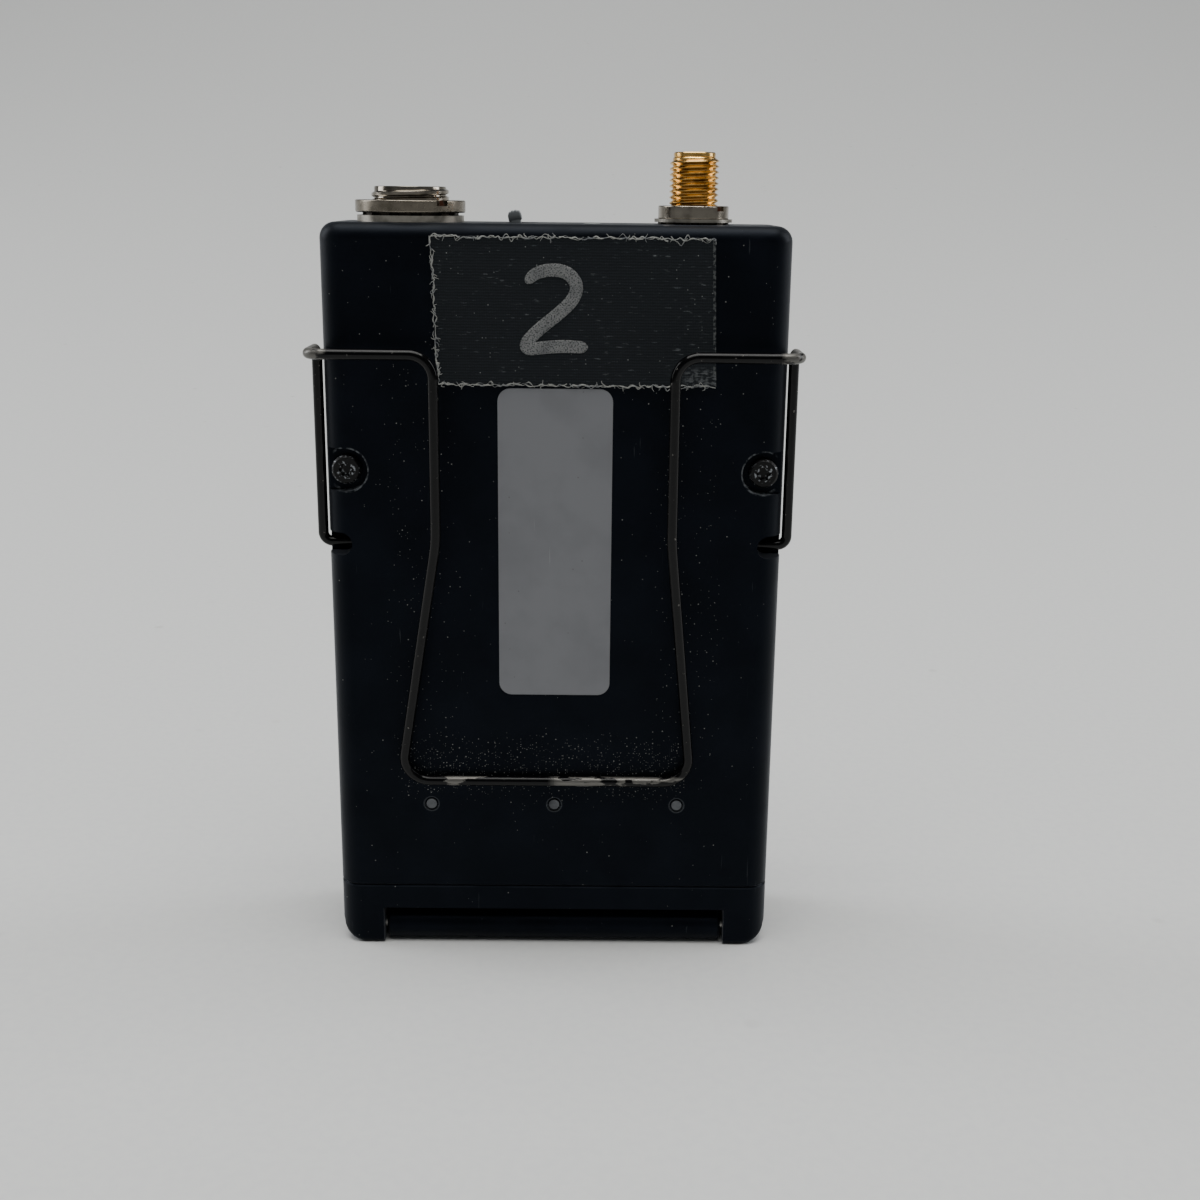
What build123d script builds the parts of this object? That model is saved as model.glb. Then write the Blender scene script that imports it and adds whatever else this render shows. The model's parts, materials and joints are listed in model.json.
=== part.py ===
"""Wireless bodypack transmitter: a slim belt-worn case for two AA cells, with a wire belt clip.

Units are millimetres. The case stands on its hinge end: +Z runs up towards the two connectors,
the clip side faces -Y, the display side faces +Y, and the origin is the middle of the base.
Each function below makes one piece, or one group of identical pieces, in its assembled place.
"""
from build123d import *
import math
import os

# ---- case ---------------------------------------------------------------------------------
case_width = 60.0
case_depth = 17.0
case_height = 99.0
corner_radius = 3.0          # upright edges
crown_radius = 2.0           # edges round the top face
foot_radius = 3.5            # lower outer corners, seen from the back
base_edge_radius = 0.8       # long edges under the base
wall = 1.1                   # cast side, back and front walls
top_wall = 1.5
split_y = 2.0                # side parting line between the rear casting and the front pieces
split_gap = 0.1              # half a paper's width between the fixed outer pieces
seam_z = 8.9                 # where the rear casting sits on the hinge end cap
seam_bevel = 0.25
band_height = 4.0            # full-depth band under the top face
tongue_height = 1.0          # the front cover's tongue behind the band

# ---- hinge end ------------------------------------------------------------------------------
barrel_radius = 2.2
barrel_setback = 0.2         # the barrel lies this far inside the back plane
barrel_half = 23.55
ear_gap = 0.4                # between the barrel's end and the ear
hinge_pin_radius = 0.75
hinge_pin_inset = 1.2        # the pin's ends lie this far inside the ears
running_clearance = 0.05
strip_lower_z = 5.4          # lower edge of the end cap's back strip
lip_height = 1.8             # tongue of the end cap inside the casting
lip_thickness = 0.8
slip = 0.1                   # play between pieces that slot together

# ---- cells and their tray -------------------------------------------------------------------
cell_front_gap = 0.25        # between the cells and the closed door
cell_back_gap = 0.45         # between the cells and the back wall
cell_spacing = 0.5           # between the two cells
cell_play = 0.15
cell_rise = 3.2              # least rise from the end cap's tongue up to the lower cell's axis
tray_ear_gap = 0.75          # least gap between the ears and the tray
nub_radius = 2.6
nub_length = 1.2
spring_room = 2.8            # compressed contact spring
plate_thickness = 0.4
tray_wall = 0.8
tray_end_gap = 0.2           # between the tray and the end cap's tongue
tray_corner = 1.6
tray_low_edge = 0.7          # tray beyond the cells, below and above
tray_high_edge = 1.2
contact_back = 5.5           # contact plates, from the cells' axis to their back edge
contact_front = 4.9
contact_half = 5.0
tail_width = 2.4
door_cover = 0.35            # the door's top edge stands this far above the tray
rivet_spacing = 16.9
rivet_radius = 0.55
dimple_radius = 1.0
dimple_depth = 0.35

# ---- wire belt clip -------------------------------------------------------------------------
wire_radius = 0.68
wire_side_gap = 0.09         # between the side leg and the case's side
clip_pivot_y = -6.3
clip_pivot_z = 57.8
clip_bar_z = 83.2
belt_gap = 4.8               # between the back face and the clip's upper part
clip_knee_z = 59.5           # where the legs turn in towards the case
clip_tip_z = 25.0
clip_neck_half = 15.1        # half the loop's width above the knee
clip_tip_half = 19.75        # half the loop's width at its tip
clip_tip_lean = -1.15        # the loop's tip stands a little to one side
clip_tip_gap = 0.15
clip_end_depth = 2.0         # how far each wire end goes into its bore
pocket_gap = 0.83            # round the wire in its open pocket
pocket_inset = 1.8           # from the side face to the pocket's centre
pocket_floor_y = -4.8
clip_bore_gap = 0.08

# ---- case screws ----------------------------------------------------------------------------
screw_inset = 2.8            # from the side face to the screw's centre
screw_z = 67.7
screw_recess_radius = 2.8
screw_recess_depth = 1.4
screw_head_radius = 1.9
screw_head_height = 1.2
screw_radius = 1.0
screw_length = 8.5
screw_socket_radius = 0.95
screw_socket_depth = 0.7
boss_floor = 2.5             # thickness of casting under a screw's recess

# ---- microphone jack ------------------------------------------------------------------------
mic_inset = 10.95            # from the case's side to the jack's axis
mic_thread_radius = 5.0
mic_core_radius = 4.8        # below the exposed thread
mic_rise = 4.4               # shell above the top face
mic_bore_radius = 3.9
mic_body_length = 9.0        # below the underside of the top wall
mic_flange_radius = 6.2
mic_flange_height = 1.2
mic_washer_radius = 6.9
mic_washer_height = 0.8
mic_lock_radius = 6.2
mic_lock_height = 0.35
mic_nut_radius = 7.1
mic_nut_height = 1.55
mic_notch_width = 1.6
mic_notch_depth = 0.7
mic_notch_turn = 41.0        # degrees from straight back to the first spanner notch
mic_pin_radius = 0.55
mic_pin_circle = 2.0
mic_pin_count = 4
mic_pin_recess = 2.4         # from the shell's mouth down to the pin tips
mic_pin_tail = 2.0
mic_insulator_height = 4.8

# ---- antenna jack ---------------------------------------------------------------------------
ant_inset = 12.35            # from the case's side to the jack's axis
ant_thread_radius = 3.175
ant_core_radius = 2.95
ant_rise = 9.0               # shell above the top face
ant_lead_radius = 2.7
ant_lead_length = 0.65
ant_mouth_radius = 2.3
ant_mouth_depth = 1.9
ant_insulator_radius = 2.05
ant_contact_radius = 0.64
ant_contact_bore = 0.47
ant_contact_bore_depth = 3.0
ant_body_length = 4.0
ant_flange_radius = 4.4
ant_flange_height = 1.5
ant_tail = 1.6
ant_lock_radius = 4.6
ant_lock_height = 0.3
ant_washer_radius = 5.05
ant_washer_height = 0.4
ant_nut_radius = 4.58
ant_nut_height = 1.65
ant_notch_width = 1.3
ant_notch_depth = 0.65
ant_notch_turn = 46.0        # degrees from straight back to the first spanner notch
washer_play = 0.12

# ---- power switch and lamp ------------------------------------------------------------------
switch_x = -4.6
switch_pivot_drop = 4.0      # from the top face down to the lever's pivot
switch_lean = 11.0           # degrees the lever leans at each end of its swing
lever_width = 1.7
lever_depth = 2.0
lever_rise = 1.75            # above the top face
lever_hub_radius = 1.3
lever_pin_radius = 0.5
switch_body_size = (10.0, 6.0, 6.0)
lamp_x = 4.5
lamp_radius = 1.1
lamp_flange_radius = 1.7
lamp_length = 3.2

# ---- display, keys and boards ---------------------------------------------------------------
board_side_gap = 4.1         # between the board and the case's side walls
board_rise = 1.9             # from the door's top edge up to the board
board_drop = 9.1             # from the underside of the top wall down to the board
board_back_y = 2.4
board_thickness = 1.0
display_drop = 19.6          # from the top face down to the middle of the display
display_size = (34.0, 17.6)
window_size = (31.0, 18.0)
window_thickness = 0.9
window_rim = 1.4             # ledge under the window's edge
window_corner = 1.5
key_spacing = 15.0
key_drop = 37.5
key_size = (9.0, 4.6)
key_rise = 0.35              # above the front face
key_gap = 0.2
key_flange = 0.7
key_flange_height = 0.8
key_travel = 0.35
tact_size = 4.4
tact_height = 2.0
tact_plunger_radius = 1.1
beam_x = 18.5
beam_radius = 1.6
beam_flange_radius = 2.3
post_radius = 1.6
post_x = 21.5
post_low_inset = 4.0         # from the board's lower edge
post_high_inset = 22.4       # from the board's upper edge
board_screw_radius = 0.7
board_screw_head = 1.4
board_screw_length = 3.6
shield_wall = 0.3
shield_height = 4.0
lead_radius = 0.35
coax_radius = 0.6

# ---- door latch -----------------------------------------------------------------------------
latch_travel = 1.6
latch_pad_size = (14.0, 6.4)
latch_pad_rise = 0.5
latch_pocket_depth = 0.5
latch_pad_top = 0.7          # from the door's top edge down to the pad
latch_stem_size = (4.0, 1.8)
latch_plate_half = 5.0
latch_plate_thickness = 0.9
latch_plate_height = 4.7
latch_reach = 1.5            # locked, the tongue stands this far above the door's top edge
latch_rib_count = 5

# ---- stickers -------------------------------------------------------------------------------
label_size = (14.85, 41.3)
label_drop = 0.45            # from the tape down to the label
label_corner = 1.7
label_thickness = 0.12
tape_left = -15.3
tape_right = 20.3
tape_drop = 1.6              # from the top face down to the tape
tape_width = 18.4
tape_thickness = 0.3

# ---- worked out from the sizes above --------------------------------------------------------
half_width = case_width / 2
half_depth = case_depth / 2
back_y, front_y = -half_depth, half_depth
top_z = case_height
under_top_z = top_z - top_wall
band_z = top_z - band_height
inner_half = half_width - wall
inner_front_y = front_y - wall
inner_back_y = back_y + wall
hinge_y = back_y + barrel_setback + barrel_radius
hinge_z = barrel_radius
ear_inner = barrel_half + ear_gap
door_y = split_y + split_gap
cell_radius = half_depth - wall - (cell_front_gap + cell_back_gap) / 2
cell_y = (cell_back_gap - cell_front_gap) / 2
cell_pitch = 2 * cell_radius + cell_spacing
cell_low_z = max(seam_z + lip_height + cell_rise,
                 strip_lower_z + tray_ear_gap + tray_low_edge + cell_radius)
cell_z = (cell_low_z, cell_low_z + cell_pitch)
rivet_z = cell_low_z + cell_pitch / 2
tray_half = inner_half - slip - lip_thickness - tray_end_gap
bay_half = tray_half - tray_wall - plate_thickness
cell_length = 2 * bay_half - nub_length - spring_room
tray_top_z = cell_z[1] + cell_radius + tray_high_edge
door_top_z = tray_top_z + door_cover
cover_low_z = door_top_z + 2 * split_gap
mic_x = mic_inset - half_width
mic_top_z = top_z + mic_rise
ant_top_z = top_z + ant_rise
ant_x = half_width - ant_inset
board_half = inner_half - board_side_gap
board_low_z = door_top_z + board_rise
board_high_z = under_top_z - board_drop
display_z = top_z - display_drop
key_z = top_z - key_drop
beam_z = key_z
post_z = (board_low_z + post_low_inset, board_high_z - post_high_inset)
pocket_radius = wire_radius + pocket_gap
clip_bore_radius = wire_radius + clip_bore_gap
tape_high_z = top_z - tape_drop
tape_low_z = tape_high_z - tape_width
label_top_z = tape_low_z - label_drop
clip_leg_x = half_width + wire_side_gap + wire_radius
clip_bar_y = back_y - belt_gap - wire_radius
clip_tip_y = back_y - clip_tip_gap - wire_radius
pocket_x = half_width - pocket_inset
screw_x = half_width - screw_inset
recess_floor_y = back_y + screw_recess_depth
boss_end_y = recess_floor_y + boss_floor
board_front_y = board_back_y + board_thickness
latch_pad_high_z = door_top_z - latch_pad_top
latch_plate_top_z = door_top_z + latch_reach
big = 200.0                  # a length past every piece, for cutting tools


def block(x0, x1, y0, y1, z0, z1):
    """A box between two corners."""
    centre = Pos((x0 + x1) / 2, (y0 + y1) / 2, (z0 + z1) / 2)
    return centre * Box(abs(x1 - x0), abs(y1 - y0), abs(z1 - z0))


def post(x, y, z0, z1, radius):
    """An upright cylinder."""
    return Pos(x, y, (z0 + z1) / 2) * Cylinder(radius, z1 - z0)


def rod_x(y, z, x0, x1, radius):
    """A cylinder along X."""
    return Pos((x0 + x1) / 2, y, z) * Rot(0, 90, 0) * Cylinder(radius, abs(x1 - x0))


def rod_y(x, z, y0, y1, radius):
    """A cylinder along Y."""
    return Pos(x, (y0 + y1) / 2, z) * Rot(90, 0, 0) * Cylinder(radius, abs(y1 - y0))


def slab_y(width, height, corner, x, z, y0, y1):
    """A round-cornered plate that faces along Y."""
    plan = Plane(origin=(x, y0, z), x_dir=(1, 0, 0), z_dir=(0, 1, 0))
    return extrude(plan * RectangleRounded(width, height, corner), y1 - y0)


def both_sides(piece):
    """A piece and its mirror image across the middle of the case."""
    return piece + mirror(piece, Plane.YZ)


def solids_of(*pieces):
    """Separate solids kept in one node."""
    return Compound([solid for piece in pieces for solid in piece.solids()])


# ---- outer case -------------------------------------------------------------------------------
def envelope(inset=0.0):
    """The whole case's outer form, or that form taken in by a wall."""
    width, depth = case_width - 2 * inset, case_depth - 2 * inset
    high = top_z - (top_wall if inset else 0)
    body = extrude(RectangleRounded(width, depth, corner_radius - inset), high)
    if inset:
        return body
    body = fillet(body.edges().group_by(Axis.Z)[-1], crown_radius)
    side = Plane(origin=(0, -big / 2, high / 2), x_dir=(1, 0, 0), z_dir=(0, 1, 0))
    outline = extrude(side * Rectangle(width, high), big)
    outline = fillet(outline.edges().filter_by(Axis.Y).group_by(Axis.Z)[0], foot_radius)
    body = body & outline
    lowest = body.edges().filter_by(Axis.X).group_by(Axis.Z)[0]
    return fillet(lowest, base_edge_radius)


def outer_part(x0, x1, y0, y1, z0, z1):
    """The stretch of the case's outer form inside a box."""
    return envelope() & block(x0, x1, y0, y1, z0, z1)


def hollow(low_z=-big):
    """The space inside the walls."""
    space = extrude(RectangleRounded(2 * inner_half, case_depth - 2 * wall, corner_radius - wall),
                    under_top_z)
    if low_z > 0:
        space = space & block(-big, big, -big, big, low_z, big)
    return space


def screw_recess(side):
    """Open-sided counterbore round a case screw."""
    round_end = rod_y(side * screw_x, screw_z, back_y - 1, recess_floor_y, screw_recess_radius)
    mouth = block(side * screw_x, side * (half_width + 1), back_y - 1, recess_floor_y,
                  screw_z - screw_recess_radius, screw_z + screw_recess_radius)
    return round_end + mouth


def clip_pocket(side):
    """Open-sided pocket and bore for one end of the belt clip."""
    bore_floor_x = pocket_x - pocket_radius - clip_end_depth - 0.4
    well = rod_y(side * pocket_x, clip_pivot_z, back_y - 1, pocket_floor_y, pocket_radius)
    mouth = block(side * pocket_x, side * (half_width + 1), back_y - 1, pocket_floor_y,
                  clip_pivot_z - pocket_radius, clip_pivot_z + pocket_radius)
    bore = rod_x(clip_pivot_y, clip_pivot_z, side * bore_floor_x, side * pocket_x, clip_bore_radius)
    return well + mouth + bore


def rear_case():
    """Cast rear shell: back, sides, top and the full-depth band under the top."""
    shell = outer_part(-big, big, -big, big, seam_z, big)
    shell = chamfer(shell.edges().group_by(Axis.Z)[0], seam_bevel)
    shell -= block(-big, big, split_y, big, 0, band_z)
    shell -= hollow()
    boss_half = screw_recess_radius + 0.9
    clip_half = pocket_radius + 1.5
    bosses = (
        block(screw_x - 2.6, half_width, back_y, boss_end_y, screw_z - boss_half, screw_z + boss_half)
        + block(pocket_x - pocket_radius - clip_end_depth - 1.4, half_width, back_y,
                pocket_floor_y + 1.1, clip_pivot_z - clip_half, clip_pivot_z + clip_half)
    )
    shell += both_sides(bosses) & envelope()
    for side in (-1, 1):
        shell -= screw_recess(side)
        shell -= clip_pocket(side)
        shell -= rod_y(side * screw_x, screw_z, back_y - 1, boss_end_y + 1,
                       screw_radius + running_clearance)
    for place in (-1, 0, 1):
        x = place * rivet_spacing
        shell -= rod_y(x, rivet_z, back_y - 1, 0, rivet_radius + 0.02)
        shell -= rod_y(x, rivet_z, back_y - 1, back_y + dimple_depth, dimple_radius)
    shell -= post(mic_x, 0, band_z, top_z + 1, mic_core_radius + washer_play)
    shell -= post(ant_x, 0, band_z, top_z + 1, ant_core_radius + washer_play)
    shell -= post(lamp_x, 0, band_z, top_z + 1, lamp_radius + running_clearance)
    return shell - switch_slot()


def switch_slot():
    """Slot in the top face that the lever swings in."""
    reach = switch_pivot_drop * math.tan(math.radians(switch_lean)) + lever_width / 2 + 0.5
    return slab_z(2 * reach, lever_depth + 0.6, (lever_depth + 0.5) / 2, switch_x, 0,
                  band_z, top_z + 1)


def slab_z(width, depth, corner, x, y, z0, z1):
    """A round-cornered upright block."""
    return Pos(x, y, z0) * extrude(RectangleRounded(width, depth, corner), z1 - z0)


def front_cover():
    """Upper front panel with the window, key and beam openings, and posts for screws and board."""
    cover = outer_part(-big, big, door_y, big, cover_low_z, band_z - split_gap) - hollow()
    tongue_y = inner_front_y - 2 * slip
    tongue = block(-inner_half + 3, inner_half - 3, tongue_y - 1.1, tongue_y, band_z - 2,
                   band_z + tongue_height)
    web = block(-inner_half + 3, inner_half - 3, tongue_y - 1.1, inner_front_y, band_z - 2,
                band_z - split_gap)
    cover += tongue + web
    for side in (-1, 1):
        cover += rod_y(side * screw_x, screw_z, boss_end_y, inner_front_y, screw_radius + 0.6)
        for z in post_z:
            cover += rod_y(side * post_x, z, board_front_y, inner_front_y, post_radius)
    for side in (-1, 1):
        cover -= rod_y(side * screw_x, screw_z, boss_end_y - 1,
                       recess_floor_y + screw_length + 0.5, screw_radius + running_clearance)
        for z in post_z:
            cover -= rod_y(side * post_x, z, board_front_y - 1,
                           board_back_y + board_screw_length + 0.3,
                           board_screw_radius + running_clearance)
        cover -= slab_y(key_size[0] + 2 * key_gap, key_size[1] + 2 * key_gap,
                        key_size[1] / 2 + key_gap - 0.05, side * key_spacing / 2, key_z,
                        inner_front_y - 1, front_y + 1)
    width, height = window_size
    cover -= slab_y(width + 2 * slip, height + 2 * slip, window_corner + slip, 0, display_z,
                    front_y - window_thickness, front_y + 1)
    cover -= slab_y(width - 2 * window_rim, height - 2 * window_rim, window_corner, 0, display_z,
                    inner_front_y - 1, front_y + 1)
    return cover - rod_y(beam_x, beam_z, inner_front_y - 1, front_y + 1,
                         beam_radius + running_clearance)


def ear_block(side):
    """One hinge ear: solid low down, and cut back so that the door can swing round it."""
    ear = outer_part(min(side * ear_inner, side * big), max(side * ear_inner, side * big),
                     -big, split_y, 0, strip_lower_z)
    swing = rod_x(hinge_y, hinge_z, -big, big, door_y - hinge_y - split_gap)
    low = block(-big, big, -big, big, -big, hinge_z)
    return ear - (low - swing)


def end_cap():
    """Hinge end: back strip, side walls, two ears and the tongue that fits the rear casting."""
    ring = outer_part(-big, big, -big, split_y, strip_lower_z, seam_z)
    ring = chamfer(ring.edges().filter_by(Axis.Y, reverse=True).group_by(Axis.Z)[-1].filter_by(
        lambda edge: edge.center().Y < split_y - 0.01), seam_bevel)
    ring -= hollow()
    cap = ring + ear_block(-1) + ear_block(1)
    outer = extrude(RectangleRounded(2 * (inner_half - slip), case_depth - 2 * (wall + slip),
                                     corner_radius - wall), seam_z + lip_height)
    inner_radius = corner_radius - wall - lip_thickness
    inner = extrude(RectangleRounded(2 * (inner_half - slip - lip_thickness),
                                     case_depth - 2 * (wall + slip + lip_thickness),
                                     inner_radius), seam_z + lip_height)
    lip = (outer - inner) & block(-big, big, -big, split_y, strip_lower_z, big)
    cap += lip
    cap += both_sides(block(inner_half - slip - lip_thickness, inner_half + 0.1, inner_back_y,
                            split_y, strip_lower_z, seam_z))
    cap += block(-inner_half, inner_half, inner_back_y - 0.1, inner_back_y + slip + lip_thickness,
                 strip_lower_z, seam_z)
    return cap - rod_x(hinge_y, hinge_z, -big, big, hinge_pin_radius + running_clearance)


def hinge_pin():
    """Steel pin through the barrel and both ears."""
    half = half_width - hinge_pin_inset
    return rod_x(hinge_y, hinge_z, -half, half, hinge_pin_radius)


def battery_door():
    """Front and bottom of the cell bay, with the hinge barrel at its back edge."""
    panel = outer_part(-big, big, door_y, big, 0, door_top_z)
    panel -= hollow() & block(-big, big, -big, big, wall, big)
    floor = outer_part(-barrel_half, barrel_half, hinge_y, door_y + 1, 0, wall)
    barrel = rod_x(hinge_y, hinge_z, -barrel_half, barrel_half, barrel_radius)
    barrel = chamfer(barrel.edges().filter_by(GeomType.CIRCLE), 0.4)
    door = panel + floor + barrel
    door -= rod_x(hinge_y, hinge_z, -big, big, hinge_pin_radius + running_clearance)
    width, height = latch_pad_size
    pad_z = latch_pad_high_z - height / 2
    door -= slab_y(width + 2 * slip, height + latch_travel + 2 * slip, 0.6, 0,
                   pad_z - latch_travel / 2, front_y - latch_pocket_depth, front_y + 1)
    stem_w, stem_h = latch_stem_size
    stem_z = latch_pad_high_z - 1.3 - stem_h / 2
    door -= block(-stem_w / 2 - slip, stem_w / 2 + slip, inner_front_y - 1, front_y + 1,
                  stem_z - stem_h / 2 - latch_travel - slip, stem_z + stem_h / 2 + slip)
    guide_x = latch_plate_half + slip
    guides = block(guide_x, guide_x + 1.0, inner_front_y - latch_plate_thickness, inner_front_y + 0.1,
                   door_top_z - latch_plate_height, door_top_z - 0.2)
    return door + both_sides(guides)


def door_latch():
    """Slide that locks the door: ribbed thumb pad, stem and tongue, shown slid down to unlock."""
    width, height = latch_pad_size
    pad_z = latch_pad_high_z - height / 2
    pocket_y = front_y - latch_pocket_depth + 0.05
    pad = slab_y(width, height, 0.5, 0, pad_z, pocket_y, front_y + latch_pad_rise - 0.3)
    step = (height - 1.2) / latch_rib_count
    for row in range(latch_rib_count):
        z = pad_z - height / 2 + 0.6 + step * (row + 0.5)
        rib = block(-width / 2 + 0.8, width / 2 - 0.8, pocket_y, front_y + latch_pad_rise,
                    z - step * 0.25, z + step * 0.25)
        pad += rib
    stem_w, stem_h = latch_stem_size
    stem_z = latch_pad_high_z - 1.3 - stem_h / 2
    plate_front_y = inner_front_y - slip
    stem = block(-stem_w / 2, stem_w / 2, plate_front_y - 0.1, pocket_y + 0.1,
                 stem_z - stem_h / 2, stem_z + stem_h / 2)
    plate = block(-latch_plate_half, latch_plate_half, plate_front_y - latch_plate_thickness,
                  plate_front_y, latch_plate_top_z - latch_plate_height, latch_plate_top_z)
    return Pos(0, 0, -latch_travel) * (pad + stem + plate)


# ---- fasteners -----------------------------------------------------------------------------------
def torx_socket(x, z, y0, y1, radius):
    """Six-lobed driver socket along Y."""
    core = rod_y(x, z, y0, y1, radius * 0.74)
    for lobe in range(6):
        angle = math.radians(60 * lobe)
        core += rod_y(x + radius * 0.74 * math.cos(angle), z + radius * 0.74 * math.sin(angle),
                      y0, y1, radius * 0.26)
    return core


def case_screws():
    """Two six-lobe screws from the back into the front cover."""
    made = []
    for side in (-1, 1):
        x = side * screw_x
        head_y = recess_floor_y - screw_head_height
        head = rod_y(x, screw_z, head_y, recess_floor_y, screw_head_radius)
        head = chamfer(head.edges().group_by(Axis.Y)[0], 0.25)
        shank = rod_y(x, screw_z, recess_floor_y, recess_floor_y + screw_length, screw_radius)
        socket = torx_socket(x, screw_z, head_y - 0.1, head_y + screw_socket_depth,
                             screw_socket_radius)
        made.append(head + shank - socket)
    return solids_of(*made)


def tray_rivets():
    """Three rivets that hold the cell tray to the rear casting."""
    made = []
    for place in (-1, 0, 1):
        x = place * rivet_spacing
        head = rod_y(x, rivet_z, back_y + 0.08, back_y + dimple_depth, rivet_radius + 0.15)
        made.append(head + rod_y(x, rivet_z, back_y + dimple_depth, inner_back_y + 1.8, rivet_radius))
    return solids_of(*made)


def board_screws():
    """Four small screws that hold the board to the cover's posts."""
    made = []
    for side in (-1, 1):
        for z in post_z:
            x = side * post_x
            head = rod_y(x, z, board_back_y - 0.9, board_back_y, board_screw_head)
            shank = rod_y(x, z, board_back_y, board_back_y + board_screw_length, board_screw_radius)
            slot = block(x - 1.0, x + 1.0, board_back_y - 1.0, board_back_y - 0.5, z - 0.2, z + 0.2)
            made.append(head + shank - slot)
    return solids_of(*made)


# ---- belt clip --------------------------------------------------------------------------------
def belt_clip():
    """One piece of spring wire: two pivot ends, side legs, top bars and the belt loop."""
    end_x = pocket_x - pocket_radius - clip_end_depth
    y, z = clip_pivot_y, clip_pivot_z
    tip_left = clip_tip_lean - clip_tip_half
    tip_right = clip_tip_lean + clip_tip_half
    route = [
        (-end_x, y, z),
        (-clip_leg_x, y, z),
        (-clip_leg_x, y, clip_bar_z),
        (-clip_leg_x, clip_bar_y, clip_bar_z),
        (-clip_neck_half, clip_bar_y, clip_bar_z),
        (-clip_neck_half, clip_bar_y, clip_knee_z),
        (tip_left, clip_tip_y, clip_tip_z),
        (tip_right, clip_tip_y, clip_tip_z),
        (clip_neck_half, clip_bar_y, clip_knee_z),
        (clip_neck_half, clip_bar_y, clip_bar_z),
        (clip_leg_x, clip_bar_y, clip_bar_z),
        (clip_leg_x, y, clip_bar_z),
        (clip_leg_x, y, z),
        (end_x, y, z),
    ]
    bends = [1.2, 1.6, 1.8, 3.0, 14.0, 3.4, 3.4, 14.0, 3.0, 1.8, 1.6, 1.2]
    path = FilletPolyline(*route, radius=bends)
    section = Plane(origin=route[0], z_dir=(-1, 0, 0)) * Circle(wire_radius)
    return sweep(section, path=path)


# ---- cells, tray and contacts --------------------------------------------------------------------
def aa_cell(z, nub_side):
    """One AA cell on its side, with its positive nub towards nub_side."""
    nub_end = nub_side * bay_half
    shoulder = nub_side * (bay_half - nub_length)
    tail = nub_side * (bay_half - nub_length - cell_length)
    can = rod_x(cell_y, z, shoulder, tail, cell_radius)
    can = fillet(can.edges().filter_by(GeomType.CIRCLE), 0.5)
    return can + rod_x(cell_y, z, shoulder - nub_side * 0.2, nub_end, nub_radius)


def round_back(piece):
    """A block with its two upright back edges rounded to clear the case's corners."""
    return fillet(piece.edges().filter_by(Axis.Z).group_by(Axis.Y)[0], tray_corner)


def cell_tray():
    """Plastic cradle that holds both cells and the contacts."""
    end_x = bay_half + plate_thickness
    half = tray_half
    low_z = cell_z[0] - cell_radius - tray_low_edge
    high_z = tray_top_z
    lip_back_y = inner_back_y + 2 * slip + lip_thickness
    tray = block(-half, half, lip_back_y, 0, low_z, high_z)
    floor = block(-half, half, inner_back_y, 0, seam_z + lip_height + slip, high_z)
    tray = round_back(tray) + round_back(floor)
    for z in cell_z:
        tray -= rod_x(cell_y, z, -end_x, end_x, cell_radius + cell_play)
    contact_y = cell_y - contact_back - slip
    tray -= block(-end_x, end_x, -2.0, 1, low_z - 1, high_z + 1)
    for side in (-1, 1):
        tray -= block(side * bay_half, side * end_x, contact_y, 1,
                      cell_z[0] - contact_half - slip, cell_z[1] + contact_half + slip)
    for place in (-1, 0, 1):
        tray -= rod_y(place * rivet_spacing, rivet_z, inner_back_y - 1, inner_back_y + 1.9,
                      rivet_radius + 0.02)
    return tray


def contact_plate(side, z0, z1):
    """Nickel contact plate against one end wall of the tray."""
    return block(side * bay_half, side * (bay_half + plate_thickness), cell_y - contact_back,
                 cell_y + contact_front, z0, z1)


def contact_bridge():
    """Plate that joins the lower cell's negative end to the upper cell's positive end."""
    return contact_plate(-1, cell_z[0] - contact_half, cell_z[1] + contact_half)


def contact_negative():
    """Plate behind the upper cell's spring, with a tail up to its lead."""
    plate = contact_plate(1, cell_z[1] - contact_half, cell_z[1] + contact_half)
    return plate + block(bay_half, bay_half + plate_thickness, 0.5, 0.5 + tail_width,
                         cell_z[1], door_top_z)


def contact_positive():
    """Plate under the lower cell's nub; its tail passes outside the tray and up to its lead."""
    outer_x = bay_half + plate_thickness + tray_wall + 2 * slip + plate_thickness
    plate = contact_plate(1, cell_z[0] - contact_half, cell_z[0] + contact_half)
    step = block(bay_half, outer_x, 0.5, 0.5 + tail_width, cell_z[0], cell_z[0] + 2)
    tail = block(outer_x - plate_thickness, outer_x, 0.5, 0.5 + tail_width, cell_z[0], door_top_z)
    return plate + step + tail


def battery_leads():
    """Two wires from the contact tails to the board's back face."""
    tail_middle = 0.5 + tail_width / 2
    outer = bay_half + 1.5 * plate_thickness + tray_wall + 2 * slip
    leads = []
    for x, end_z in ((bay_half + plate_thickness / 2, board_low_z + 1.5), (outer, board_low_z + 8.0)):
        end_x = board_half - 1.2
        path = FilletPolyline((x, tail_middle, door_top_z), (x, tail_middle, door_top_z + 1.4),
                              (end_x, board_back_y - 1.3, end_z), (end_x, board_back_y, end_z),
                              radius=[0.5, 0.5])
        profile = Plane(origin=(x, tail_middle, door_top_z), z_dir=(0, 0, 1)) * Circle(lead_radius)
        leads.append(sweep(profile, path=path))
    return solids_of(*leads)


def contact_spring(side, z):
    """Conical contact spring, shown compressed by its cell."""
    wire = 0.3
    height = spring_room - 2 * wire
    coil = Helix(pitch=height / 3, height=height, radius=4.2, cone_angle=-28)
    start = Plane(origin=coil @ 0, z_dir=coil % 0)
    spring = sweep(start * Circle(wire), path=coil, is_frenet=True)
    place = Pos(side * (bay_half - wire), cell_y, z) * Rot(0, -90 * side, 0)
    return place * spring


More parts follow.
